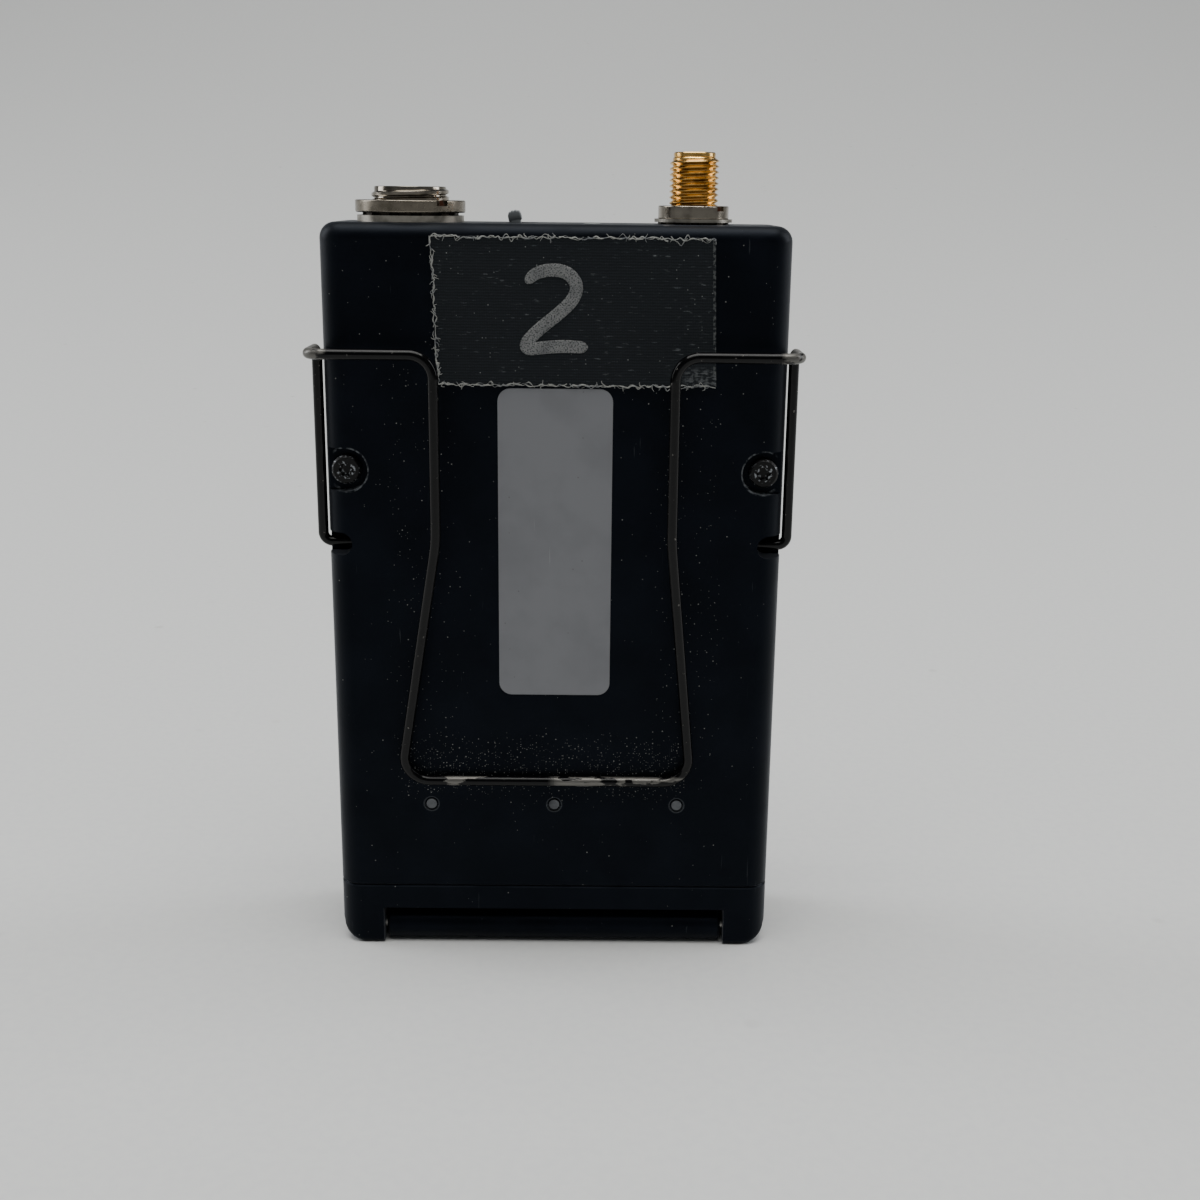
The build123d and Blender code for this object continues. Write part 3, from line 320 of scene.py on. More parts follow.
def wireEnamel():
    # dipped gloss black enamel on spring steel: thin mirror-like lines, chipped to bright steel where it rubs
    material, tree, shader, place = newSurface("dipped_gloss_enamel_on_spring_wire", "#030304", 0.12,
                                               Specular_IOR_Level=0.20)
    x, y, z = add(tree, "SeparateXYZ", inputs={0: place}).outputs
    tip = band(tree, z, 20 * mm, 25.7 * mm, 0.4 * mm)
    outside = band(tree, y, -12 * mm, -9.45 * mm, 0.10 * mm)
    upper = band(tree, z, 24.6 * mm, 26.5 * mm, 0.08 * mm)      # the bar's upper edge: bare steel where it drags on cloth, and a painted highlight along that edge
    side = add(tree, "Math", operation="ABSOLUTE", inputs={0: x}).outputs[0]
    elbow = product(tree, band(tree, side, 28.8 * mm, 40 * mm, 0.8 * mm), band(tree, z, 82.6 * mm, 90 * mm, 0.4 * mm))
    rightHalf = band(tree, x, 1 * mm, 17 * mm, 2 * mm)
    patches = grainNoise(tree, place, 2.0 * mm, 7, 0.58, 0.61, stretch=(0.4, 1, 1))
    dense = grainNoise(tree, place, 2.2 * mm, 7, 0.50, 0.54, stretch=(0.4, 1, 1))
    specks = grainNoise(tree, place, 0.55 * mm, 3, 0.70, 0.73)
    wear = [product(tree, patches, tip, outside), product(tree, dense, upper, rightHalf, tip),
            product(tree, dense, elbow, 0.75), product(tree, specks, 0.7)]
    wornAndHighlit = wear[0]
    for more in wear[1:]:
        wornAndHighlit = add(tree, "Math", operation="MAXIMUM", inputs={0: wornAndHighlit, 1: more}).outputs[0]
    # bright steel where the enamel is chipped; along the bar's upper edge it is also a painted highlight
    blendInto(tree, shader, "Base Color", wornAndHighlit, linear("#6d6b67"))
    blendInto(tree, shader, "Metallic", wornAndHighlit, 0.7)
    blendInto(tree, shader, "Roughness", wornAndHighlit, 0.42)
    roughen(tree, shader, wornAndHighlit, 0.03 * mm, 0.8)
    drips = grainNoise(tree, place, 2.2 * mm, 2)
    roughen(tree, shader, drips, 0.03 * mm, 0.5)
    return material


def platedMetal(name, colour, roughness, tarnish, spots, spotShare, brushed=0.0):
    # thin bright plating on turned brass: clear reflections, faint tool rings, tarnish in the corners
    material, tree, shader, place = newSurface(name, colour, roughness, 1.0)
    cloud = grainNoise(tree, place, 1.8 * mm, 5, 0.42, 0.72)
    blendInto(tree, shader, "Base Color", cloud, linear(tarnish))
    blendInto(tree, shader, "Roughness", grainNoise(tree, place, 0.7 * mm, 4, 0.4, 0.8), roughness + 0.12)
    rings = grainNoise(tree, place, 0.30 * mm, 2, stretch=(0.15, 0.15, 1))
    roughen(tree, shader, rings, 0.002 * mm, 0.4 + brushed)
    if spots:
        field = grainNoise(tree, place, 1.4 * mm, 5, 0.74 - spotShare, 0.76 - spotShare)
        blendInto(tree, shader, "Base Color", field, linear(spots))
        blendInto(tree, shader, "Metallic", field, 0.1)
        blendInto(tree, shader, "Roughness", field, 0.85)
        roughen(tree, shader, field, 0.03 * mm)
    return material


def rustSpot(material, nodeName, where, size):
    # one brown corroded patch on a plated part, at a share of the part's box
    tree = material.node_tree
    shader = next(n for n in tree.nodes if n.type == "BSDF_PRINCIPLED")
    place = next(n for n in tree.nodes if n.type == "TEX_COORD").outputs["Object"]
    low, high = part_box(nodeName)
    spot = Vector([a + (b - a) * share for a, b, share in zip(low, high, where)])
    ragged = add(tree, "TexNoise", inputs={"Vector": place, "Scale": 1 / (0.5 * mm), "Detail": 4.0}).outputs[1]
    nudge = add(tree, "VectorMath", operation="MULTIPLY_ADD",
                inputs={0: ragged, 1: (size, size, size), 2: place}).outputs[0]
    reach = add(tree, "VectorMath", operation="DISTANCE",
                inputs={0: nudge, 1: spot + Vector((size, size, size)) / 2}).outputs["Value"]
    patch = add(tree, "MapRange", interpolation_type="SMOOTHSTEP",
                inputs={0: reach, 1: size * 0.7, 2: size, 3: 1.0, 4: 0.0}).outputs[0]
    blendInto(tree, shader, "Base Color", patch, linear("#5a3320"))
    blendInto(tree, shader, "Metallic", patch, 0.15)
    blendInto(tree, shader, "Roughness", patch, 0.8)
    roughen(tree, shader, patch, 0.03 * mm)


def blackenedSteel():
    # black oxide on a machine screw: dull black, rubbed bright at the socket's edge and the rim
    material, tree, shader, place = newSurface("blackened_steel", "#0b0b0c", 0.38, 0.65)
    low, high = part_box("case_screws")
    reach = reachFrom(tree, place, high.x - (high.z - low.z) / 2, (low.z + high.z) / 2, True)
    socketRing = band(tree, reach, 0.55 * mm, 1.15 * mm, 0.15 * mm)
    rim = band(tree, reach, 1.72 * mm, 2.2 * mm, 0.1 * mm)
    rubbed = grainNoise(tree, place, 0.35 * mm, 4, 0.54, 0.62)
    wear = add(tree, "Math", operation="MAXIMUM",
               inputs={0: product(tree, socketRing, rubbed), 1: product(tree, rim, rubbed, 0.6)}).outputs[0]
    blendInto(tree, shader, "Base Color", wear, linear("#85888c"))
    blendInto(tree, shader, "Metallic", wear, 1.0)
    roughen(tree, shader, grainNoise(tree, place, 0.2 * mm, 3), 0.02 * mm, 0.6)
    return material


def wovenTape():
    # matt cloth tape: a plain weave under a thin plastic skin, with ribs across it and pale yarn that shows through
    material, tree, shader, place = newSurface("woven_cloth_tape", "#13171b", 0.80, coordinate="UV",
                                               Specular_IOR_Level=0.18, Sheen_Weight=0.06)
    # UV counts millimetres; ribs 0.36 mm apart and cross yarns 0.30 mm apart
    ribs = add(tree, "TexWave", wave_type="BANDS", bands_direction="Y",
               inputs={"Vector": place, "Scale": 1 / (0.36 * 3.18), "Distortion": 2.4, "Detail": 3.0,
                       "Detail Scale": 2.2, "Detail Roughness": 0.6})
    warps = add(tree, "TexWave", wave_type="BANDS", bands_direction="X",
                inputs={"Vector": place, "Scale": 1 / (0.30 * 3.18), "Distortion": 1.6, "Detail": 2.0})
    weave = add(tree, "Math", operation="MULTIPLY_ADD",
                inputs={0: warps.outputs["Fac"], 1: 0.35, 2: ribs.outputs["Fac"]}).outputs[0]
    crest = add(tree, "MapRange", inputs={0: weave, 1: 0.55, 2: 1.3, 3: 0.0, 4: 1.0}).outputs[0]
    dusty = grainNoise(tree, place, 6.0, 4, 0.42, 0.66)
    blendInto(tree, shader, "Base Color", product(tree, crest, 0.55), linear("#22272c"))
    dashes = grainNoise(tree, place, 0.42, 2, 0.62, 0.72, stretch=(0.28, 1.3, 1))
    blendInto(tree, shader, "Base Color", product(tree, dashes, crest, 0.55), linear("#4b5055"))
    blendInto(tree, shader, "Base Color", product(tree, dashes, dusty, 0.45), linear("#6a6e70"))
    fleck = speckle(tree, place, 0.45, 0.10, 2.3)
    blendInto(tree, shader, "Base Color", product(tree, fleck, 0.7), linear("#9a9d9c"))
    x, y = add(tree, "SeparateXYZ", inputs={0: place}).outputs[:2]
    width = (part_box("channel_tape")[1].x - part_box("channel_tape")[0].x) / mm
    # the factory edge on the right shows its cut yarns as a dotted line
    cutEdge = product(tree, band(tree, x, width - 0.30, width + 1, 0.08), grainNoise(tree, place, 0.5, 2, 0.45, 0.6))
    blendInto(tree, shader, "Base Color", product(tree, cutEdge, 0.45), linear("#6d706f"))
    # the lower right corner is rubbed paler, under the clip's leg
    corner = product(tree, band(tree, x, width - 3.2, width + 1, 1.6), band(tree, y, -5.0, 1.5, 1.3),
                     grainNoise(tree, place, 0.32, 5, 0.42, 0.62, stretch=(0.5, 1, 1)))
    blendInto(tree, shader, "Base Color", product(tree, corner, 0.65), linear("#5f6264"))
    blendInto(tree, shader, "Roughness", dashes, 0.92)
    roughen(tree, shader, weave, 0.045 * mm, 0.8)
    return material


def frayedYarn():
    # raw cotton ends at the torn edge: pale, dry, fuzzy
    material, tree, shader, place = newSurface("frayed_cotton_yarn", "#8e8f8b", 0.95, Sheen_Weight=0.3)
    blendInto(tree, shader, "Base Color", grainNoise(tree, place, 1.1 * mm, 4, 0.42, 0.68), linear("#63666a"))
    roughen(tree, shader, grainNoise(tree, place, 0.12 * mm, 2), 0.02 * mm)
    return material


def chalkInk():
    # chalky marker on cloth: pale grey where it caught the rib crests, bare in the hollows
    material, tree, shader, place = newSurface("chalk_marker_on_cloth", "#7d7e7e", 0.95,
                                               Specular_IOR_Level=0.1)
    flat = add(tree, "Mapping", inputs={"Vector": place, "Scale": (1, 0, 1)}).outputs[0]
    gaps = grainNoise(tree, flat, 0.20 * mm, 3, 0.46, 0.64)
    blendInto(tree, shader, "Base Color", product(tree, gaps, 0.85), linear("#2c2f32"))
    thin = grainNoise(tree, flat, 2.0 * mm, 3, 0.40, 0.70)
    blendInto(tree, shader, "Base Color", product(tree, thin, 0.35), linear("#3a3d40"))
    roughen(tree, shader, gaps, 0.03 * mm)
    return material


def silverLabel():
    # matt metallised polyester: flat silver grey with faint rubbing and specks
    material, tree, shader, place = newSurface("matt_silver_polyester_label", "#75767a", 0.58, 0.1)
    blendInto(tree, shader, "Base Color", grainNoise(tree, place, 6 * mm, 4, 0.4, 0.75), linear("#6e6f73"))
    scratch = grainNoise(tree, place, 0.5 * mm, 2, 0.72, 0.77, stretch=(1, 1, 0.05))
    blendInto(tree, shader, "Base Color", product(tree, scratch, 0.5), linear("#909193"))
    specks = speckle(tree, place, 0.6 * mm, 0.02, 3.3)
    blendInto(tree, shader, "Base Color", specks, linear("#4a4b4c"))
    roughen(tree, shader, grainNoise(tree, place, 0.15 * mm, 2), 0.003 * mm, 0.5)
    return material


def moulded(name, colour, roughness, mottle, grain=0.25 * mm, depth=0.010 * mm, **sockets):
    # moulded plastic or rubber: even colour with a faint mottle and a fine spark-eroded texture
    material, tree, shader, place = newSurface(name, colour, roughness, **sockets)
    blendInto(tree, shader, "Base Color", grainNoise(tree, place, 3 * mm, 4, 0.4, 0.7), linear(mottle))
    blendInto(tree, shader, "Roughness", grainNoise(tree, place, 2 * mm, 4, 0.45, 0.75), min(roughness + 0.12, 1.0))
    roughen(tree, shader, grainNoise(tree, place, grain, 2), depth, 0.7)
    return material


def solderMask():
    # green solder mask over copper tracks: the tracks stand a little proud and paler
    material, tree, shader, place = newSurface("green_solder_mask", "#0b3d22", 0.30)
    tracks = add(tree, "TexBrick", inputs={"Vector": add(tree, "Mapping", inputs={
        "Vector": place, "Rotation": (math.pi / 2, 0, 0)}).outputs[0], "Scale": 700.0,
        "Color1": (1, 1, 1, 1), "Color2": (0, 0, 0, 1), "Mortar": (0.5, 0.5, 0.5, 1)})
    tint = add(tree, "Math", operation="MULTIPLY", inputs={0: tracks.outputs["Color"], 1: 0.5}).outputs[0]
    blendInto(tree, shader, "Base Color", tint, linear("#1c6a3c"))
    roughen(tree, shader, tracks.outputs["Color"], 0.03 * mm)
    return material


def windowPlastic():
    # clear polished acrylic, back-printed black round the view; a few hairline scratches
    material, tree, shader, place = newSurface("clear_acrylic_window", "#f4f7f8", 0.04, IOR=1.49)
    low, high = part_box("display_window")
    parts = add(tree, "SeparateXYZ", inputs={0: place})
    rim = 2.6 * mm
    inside = product(tree, band(tree, parts.outputs[0], low.x + rim, high.x - rim, 0.05 * mm),
                     band(tree, parts.outputs[2], low.z + rim, high.z - rim, 0.05 * mm))
    outside = add(tree, "Math", operation="SUBTRACT", inputs={0: 1.0, 1: inside}).outputs[0]
    blendInto(tree, shader, "Transmission Weight", inside, 1.0)
    blendInto(tree, shader, "Base Color", outside, linear("#060607"))
    scratch = grainNoise(tree, place, 0.3 * mm, 2, 0.76, 0.80, stretch=(0.08, 1, 1))
    roughen(tree, shader, scratch, 0.004 * mm, 0.5)
    return material


def displayGlass():
    # reflective liquid crystal, switched off: grey-green cells in a fine grid, tinned frame round them
    material, tree, shader, place = newSurface("liquid_crystal_glass", "#5c6553", 0.22)
    # cells 0.6 mm apart, as coarse as they show
    grid = add(tree, "TexBrick", offset=0.0, inputs={"Vector": add(tree, "Mapping", inputs={
        "Vector": place, "Rotation": (-math.pi / 2, 0, 0)}).outputs[0], "Scale": 1 / (0.6 * mm),
        "Color1": (1, 1, 1, 1), "Color2": (1, 1, 1, 1), "Mortar": (0, 0, 0, 1),
        "Mortar Size": 0.05, "Mortar Smooth": 0.1, "Brick Width": 1.0, "Row Height": 1.0})
    gaps = add(tree, "Math", operation="SUBTRACT", inputs={0: 1.0, 1: grid.outputs["Color"]}).outputs[0]
    blendInto(tree, shader, "Base Color", product(tree, gaps, 0.6), linear("#3e4538"))
    cloud = grainNoise(tree, place, 12 * mm, 2, 0.4, 0.7, outHigh=0.4)
    blendInto(tree, shader, "Base Color", cloud, linear("#6b7461"))
    low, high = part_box("display_module")
    parts = add(tree, "SeparateXYZ", inputs={0: place})
    view = product(tree, band(tree, parts.outputs[0], low.x + 2.5 * mm, high.x - 2.5 * mm, 0.05 * mm),
                   band(tree, parts.outputs[2], low.z + 2.0 * mm, high.z - 2.0 * mm, 0.05 * mm))
    frameMask = add(tree, "Math", operation="SUBTRACT", inputs={0: 1.0, 1: view}).outputs[0]
    blendInto(tree, shader, "Base Color", frameMask, linear("#8c8e90"))
    blendInto(tree, shader, "Metallic", frameMask, 0.9)
    return material


def lensPlastic(name, colour, deep, roughness=0.08, transmission=0.0):
    material, tree, shader, place = newSurface(name, colour, roughness, Transmission_Weight=transmission)
    blendInto(tree, shader, "Base Color", grainNoise(tree, place, 1.2 * mm, 2, 0.4, 0.7), linear(deep))
    return material


def cellJacket():
    # shrunk printed sleeve: gloss, two plain colours that meet near one end
    material, tree, shader, place = newSurface("shrink_sleeve", "#17191c", 0.22, Coat_Weight=0.3)
    mark = add(tree, "Attribute", attribute_name="sleeveMark").outputs["Fac"]
    blendInto(tree, shader, "Base Color", mark, linear("#b0793a"))
    blendInto(tree, shader, "Roughness", grainNoise(tree, place, 2 * mm, 4, 0.4, 0.8), 0.36)
    roughen(tree, shader, grainNoise(tree, place, 4 * mm, 2), 0.05 * mm, 0.5)
    return material


paintBack = powderPaint("satin_powder_paint_belt_side", True)
paintPlain = powderPaint("satin_powder_paint", False)
enamel = wireEnamel()
goldPlate = platedMetal("gold_plate_on_turned_brass", "#e2b86f", 0.16, "#ab823f", None, 0)
nickelBright = platedMetal("bright_nickel_on_turned_brass", "#9c958a", 0.13, "#6f695f", None, 0)
nickelSatin = platedMetal("satin_nickel_on_turned_brass", "#80796e", 0.27, "#686257", None, 0, 0.4)
rustSpot(nickelSatin, "mic_ring_nut", (0.83, 0.25, 0.75), 0.85 * mm)
rustSpot(nickelBright, "antenna_nut", (0.86, 0.30, 0.75), 0.62 * mm)
nickelSheet = platedMetal("nickel_plated_spring_strip", "#bdb9b0", 0.30, "#928d83", None, 0)
dullNickel = platedMetal("dull_nickel_washer", "#96928a", 0.34, "#6b675f", "#4a3c2e", 0.06, 0.3)
# the lock washers are painted dark for the shade that falls on them under the nuts
lockWasherShade = platedMetal("lock_washer_steel_painted_shade", "#3a3631", 0.45, "#241f1b", None, 0)
steel = platedMetal("turned_stainless_steel", "#a8a6a2", 0.30, "#86847f", None, 0)
rivetSteel = platedMetal("dull_peened_steel_rivet", "#606265", 0.52, "#404245", None, 0)
tinPlate = platedMetal("tin_plated_sheet", "#b6b8ba", 0.34, "#94979a", None, 0)
screwSteel = blackenedSteel()
tapeCloth = wovenTape()
yarn = frayedYarn()
ink = chalkInk()
labelFilm = silverLabel()
blackAbs = moulded("black_moulded_abs", "#101113", 0.48, "#17181a")
leverNylon = moulded("dark_grey_glass_filled_nylon", "#5b5f62", 0.46, "#6c7073", 0.2 * mm, 0.02 * mm)
trayNylon = moulded("black_glass_filled_nylon", "#121314", 0.58, "#1c1d1f", 0.3 * mm, 0.02 * mm)
keySilicone = moulded("dark_grey_silicone_keys", "#1d1f21", 0.62, "#26282b", 0.2 * mm, 0.006 * mm, Sheen_Weight=0.1)
leadPvc = moulded("pvc_lead_cover", "#141414", 0.40, "#1e1e1e")
insulator = moulded("black_phenolic_insulator", "#0c0c0d", 0.5, "#151516")
whitePtfe = moulded("white_ptfe", "#dcdad2", 0.45, "#cfccc2", Subsurface_Weight=0.1,
                    Subsurface_Radius=(mm, mm, mm))
maskGreen = solderMask()
windowClear = windowPlastic()
crystal = displayGlass()
redLens = lensPlastic("dark_red_infrared_lens", "#1a0306", "#0c0204")
frostLens = lensPlastic("frosted_light_guide", "#c9d2cb", "#aab3ac", 0.35, 0.3)
sleeve = cellJacket()
print("materials made:", len(bpy.data.materials))

finishes = {
    paintBack: ["rear_case", "end_cap"],
    paintPlain: ["front_cover", "battery_door"],
    enamel: ["belt_clip"],
    screwSteel: ["case_screws"],
    steel: ["hinge_pin", "board_screws", "power_pivot"],
    rivetSteel: ["tray_rivets"],
    nickelSatin: ["mic_ring_nut"],
    nickelBright: ["antenna_nut"],
    dullNickel: ["mic_washer", "antenna_washer"],
    lockWasherShade: ["mic_lock_washer", "antenna_lock_washer"],
    nickelSheet: ["contact_bridge", "contact_positive", "contact_negative", "contact_spring_lower",
                  "contact_spring_upper"],
    goldPlate: ["mic_jack_pins", "antenna_jack_contact"],
    tinPlate: ["radio_shield", "audio_shield"],
    maskGreen: ["main_board"],
    crystal: ["display_module"],
    windowClear: ["display_window"],
    redLens: ["beam_lens", "beam_emitter"],
    frostLens: ["power_lamp"],
    blackAbs: ["door_latch", "key_switches", "power_switch_body"],
    keySilicone: ["menu_key", "enter_key"],
    trayNylon: ["cell_tray"],
    leadPvc: ["battery_leads", "mic_leads", "antenna_lead"],
    insulator: ["mic_jack_insulator"],
    whitePtfe: ["antenna_jack_insulator"],
    labelFilm: ["rating_label"],
}
for material, names in finishes.items():
    for name in names:
        givePaint(name, material)


# jacks

antennaShell = {
    "crest": 3.175, "root": 2.78, "pitch": 25.4 / 36, "leadRadius": 2.70, "lead": 0.65,
    "mouth": 2.3, "mouthDepth": 1.9, "bore": 2.05, "flange": 4.4, "flangeHeight": 1.5,
}


def makeAntennaShell():
    s = antennaShell
    low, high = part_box("antenna_jack_shell")
    centre = Vector(((low.x + high.x) / 2, 0, 0))
    bottom, top = low.z / mm, high.z / mm
    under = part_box("rear_case")[1].z / mm - 1.5
    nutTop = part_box("antenna_nut")[1].z / mm
    bm = bmesh.new()
    addTurned(bm, [
        (s["bore"], bottom), (2.95, bottom), (2.95, under - s["flangeHeight"]),
        (s["flange"], under - s["flangeHeight"]), (s["flange"], under), (s["root"], under),
        (s["root"], top - s["lead"] - 0.1), (s["leadRadius"] - 0.05, top - s["lead"] + 0.05),
        (s["leadRadius"], top - s["lead"] + 0.12), (s["leadRadius"], top - 0.12),
        (s["leadRadius"] - 0.12, top), (s["mouth"] + 0.08, top), (s["mouth"], top - 0.08),
        (s["mouth"], top - s["mouthDepth"]), (s["bore"], top - s["mouthDepth"])], centre)
    addThread(bm, centre, s["root"], s["crest"], s["pitch"], nutTop - 0.9, top - s["lead"] + 0.12, 0.06, 96)
    piece = finishMesh("antenna_shell", bm, [goldPlate], 28)
    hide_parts("antenna_jack_shell")
    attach(piece, "case")


micShell = {
    "crest": 5.0, "root": 4.64, "pitch": 0.84, "bore": 3.9, "flange": 6.2, "flangeHeight": 1.2,
    "keyWidth": 1.2, "keyDepth": 0.6,
}


def makeMicShell():
    s = micShell
    low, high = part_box("mic_jack_shell")
    centre = Vector(((low.x + high.x) / 2, 0, 0))
    bottom, top = low.z / mm, high.z / mm
    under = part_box("rear_case")[1].z / mm - 1.5
    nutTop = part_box("mic_ring_nut")[1].z / mm
    bm = bmesh.new()
    addTurned(bm, [
        (s["bore"], bottom), (4.8, bottom), (4.8, under - s["flangeHeight"]),
        (s["flange"], under - s["flangeHeight"]), (s["flange"], under), (s["root"], under),
        (s["root"], top - 0.20), (s["root"] - 0.03, top - 0.06), (s["root"] - 0.12, top),
        (s["bore"] + 0.2, top), (s["bore"] + 0.04, top - 0.05), (s["bore"], top - 0.15)], centre, 128)
    addThread(bm, centre, s["root"], s["crest"], s["pitch"], nutTop - 1.2, top - 0.04, 0.20, 96)
    rib = bmesh.ops.create_cube(bm, size=1.0)["verts"]
    shape = Matrix.Diagonal((s["keyWidth"] * mm, (s["keyDepth"] + 0.2) * mm, 9.0 * mm, 1))
    seat = Matrix.Translation((centre.x, (s["bore"] - s["keyDepth"] / 2 + 0.1) * mm, (top - 5.5) * mm))
    bmesh.ops.transform(bm, matrix=seat @ shape, verts=rib)
    piece = finishMesh("microphone_shell", bm, [nickelBright], 28)
    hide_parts("mic_jack_shell")
    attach(piece, "case")


makeAntennaShell()
makeMicShell()
print("jacks threaded")


# power lever

lever = {"stemWidth": 1.35, "depth": 1.9, "headWidth": 1.7, "headHeight": 1.45, "hub": 1.25, "lean": -11.0,
         "reach": 5.75, "groove": 0.22}


def makeLever():
    v = lever
    pivot = next(j for j in frame["joints"] if j["name"] == "power_lever_swing")["pos_m"]
    bm = bmesh.new()
    stem = bmesh.ops.create_cube(bm, size=1.0)["verts"]
    stemHeight = v["reach"] - v["headHeight"] + 0.2
    bmesh.ops.transform(bm, verts=stem, matrix=Matrix.Translation((0, 0, stemHeight / 2 * mm)) @ Matrix.Diagonal(
        (v["stemWidth"] * mm, v["depth"] * mm, stemHeight * mm, 1)))
    head = bmesh.ops.create_grid(bm, x_segments=8, y_segments=1, size=0.5)["verts"]
    bmesh.ops.transform(bm, verts=head, matrix=Matrix.Translation((0, 0, v["reach"] * mm)) @ Matrix.Diagonal(
        (v["headWidth"] * mm, v["depth"] * mm, 1, 1)))
    # the thumb end is crowned, with two ridges across it
    for vert in head:
        across = vert.co.x / (v["headWidth"] / 2 * mm)
        crown = -0.45 * across ** 4
        ridge = -v["groove"] * math.cos(across * math.pi * 2) ** 2
        vert.co.z += (crown + ridge) * mm
    faces = list({f for vert in head for f in vert.link_faces})
    grown = bmesh.ops.extrude_face_region(bm, geom=faces, use_keep_orig=True)["geom"]
    for vert in (g for g in grown if isinstance(g, bmesh.types.BMVert)):
        vert.co.z = (v["reach"] - v["headHeight"]) * mm
    hub = bmesh.ops.create_cone(bm, cap_ends=True, segments=40, radius1=v["hub"] * mm, radius2=v["hub"] * mm,
                                depth=v["depth"] * mm)["verts"]
    bmesh.ops.rotate(bm, verts=hub, cent=(0, 0, 0), matrix=Matrix.Rotation(math.pi / 2, 3, "X"))
    edges = [e for e in bm.edges if e.is_manifold and e.calc_face_angle(0) > math.radians(50)]
    bmesh.ops.bevel(bm, geom=edges, offset=0.16 * mm, segments=3, profile=0.5, affect="EDGES", material=-1)
    place = Matrix.Translation(pivot) @ Matrix.Rotation(math.radians(v["lean"]), 4, "Y")
    bmesh.ops.transform(bm, matrix=place, verts=bm.verts)
    piece = finishMesh("power_lever_arm", bm, [leverNylon], 40)
    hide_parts("power_lever")
    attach(piece, "power_lever")


makeLever()
print("lever made")


# cloth tape with its torn edges and the hand-drawn numeral

tape = {"thickness": 0.20, "lean": 0.032, "columns": 140, "rows": 72, "tear": 0.16, "wrinkle": 0.05,
        "yarnRadius": 0.105, "yarnStep": 0.40, "yarnWander": 0.17, "strands": 34}


def tapePoint(u, v, low, high):
    # a place on the strip, u along it and v up it; the strip leans a little, as it was stuck on by hand
    x = low.x + u * (high.x - low.x)
    z = low.z + v * (high.z - low.z)
    return x - (z - (low.z + high.z) / 2) * tape["lean"], z


def makeTape():
    t = tape
    low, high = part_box("channel_tape")
    width, height = high.x - low.x, high.z - low.z
    surfaceY = high.y
    bm = bmesh.new()
    uvLayer = bm.loops.layers.uv.new("cloth")
    bmesh.ops.create_grid(bm, x_segments=t["columns"], y_segments=t["rows"], size=0.5)
    flat = {}
    for vert in bm.verts:
        u, v = vert.co.x + 0.5, vert.co.y + 0.5
        flat[vert.index] = (u * width / mm, v * height / mm)
        x, z = tapePoint(u, v, low, high)
        tear = noise.noise(Vector((x / (0.5 * mm), z / (0.5 * mm), 3.0))) * t["tear"] * mm
        tear += noise.noise(Vector((x / (3 * mm), z / (3 * mm), 8.0))) * t["tear"] * 1.4 * mm
        if u < 0.001:
            x += tear
        if v < 0.001 or v > 0.999:
            z += tear
        lift = abs(noise.noise(Vector((x / (7 * mm), z / (2.2 * mm), 1.0)))) * t["wrinkle"] * mm
        edge = min(u * width, (1 - u) * width, v * height, (1 - v) * height)
        lift += max(0.0, 1 - edge / (0.6 * mm)) * 0.06 * mm * (0.5 + noise.noise(Vector((x * 900, 0, z * 900))))
        vert.co = (x, surfaceY - (t["thickness"] + 0.02) * mm - max(lift, 0), z)
    bm.faces.ensure_lookup_table()
    for face in bm.faces:
        for loop in face.loops:
            loop[uvLayer].uv = flat[loop.vert.index]
    piece = finishMesh("cloth_tape_strip", bm, [tapeCloth], 60)
    if sum(f.normal.y for f in piece.data.polygons) > 0:
        piece.data.flip_normals()
    skin = piece.modifiers.new("thickness", "SOLIDIFY")
    skin.thickness = t["thickness"] * mm
    skin.offset = -1
    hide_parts("channel_tape")
    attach(piece, "case")
    return piece, low, high


def makeFray(low, high):
    t = tape
    routes = []
    front = low.y - 0.02 * mm
    edges = [((0, 1), (1, 1)), ((0, 0), (1, 0)), ((0, 0), (0, 1))]
    for start, end in edges:
        (x0, z0), (x1, z1) = tapePoint(*start, low, high), tapePoint(*end, low, high)
        count = int(math.hypot(x1 - x0, z1 - z0) / (t["yarnStep"] * mm))
        for strand in range(2):
            route = []
            for i in range(count + 1):
                s = i / count
                x, z = x0 + s * (x1 - x0), z0 + s * (z1 - z0)
                wander = random.gauss(0, t["yarnWander"] * (0.7 + 0.8 * strand)) * mm
                x += wander if start[0] == end[0] else random.uniform(-0.1, 0.1) * mm
                z += wander if start[1] == end[1] else random.uniform(-0.1, 0.1) * mm
                thick = random.uniform(0.2, 1.0) ** 1.3 + 0.12
                if strand and random.random() < 0.45:
                    thick *= 0.35
                route.append((x, front + random.uniform(-0.02, 0.06) * mm, z, thick))
                if strand and random.random() < 0.14 and len(route) > 3:
                    routes.append(route)
                    route = []
            if len(route) > 3:
                routes.append(route)
        # loose ends that stick out of the tear
        for _ in range(t["strands"]):
            s = random.random()
            x, z = x0 + s * (x1 - x0), z0 + s * (z1 - z0)
            away = Vector((random.gauss(0, 0.5), random.gauss(0, 0.5))).normalized() * random.uniform(0.3, 0.8) * mm
            bend = Vector((random.gauss(0, 0.2), random.gauss(0, 0.2))) * mm
            routes.append([
                (x, front, z, 0.6), (x + away.x * 0.5 + bend.x, front + 0.03 * mm, z + away.y * 0.5 + bend.y, 0.5),
                (x + away.x, front + 0.05 * mm, z + away.y, 0.25)])
    piece = tubePiece("frayed_edge_yarns", routes, t["yarnRadius"] * mm, yarn, 1)
    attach(piece, "case")
    return piece


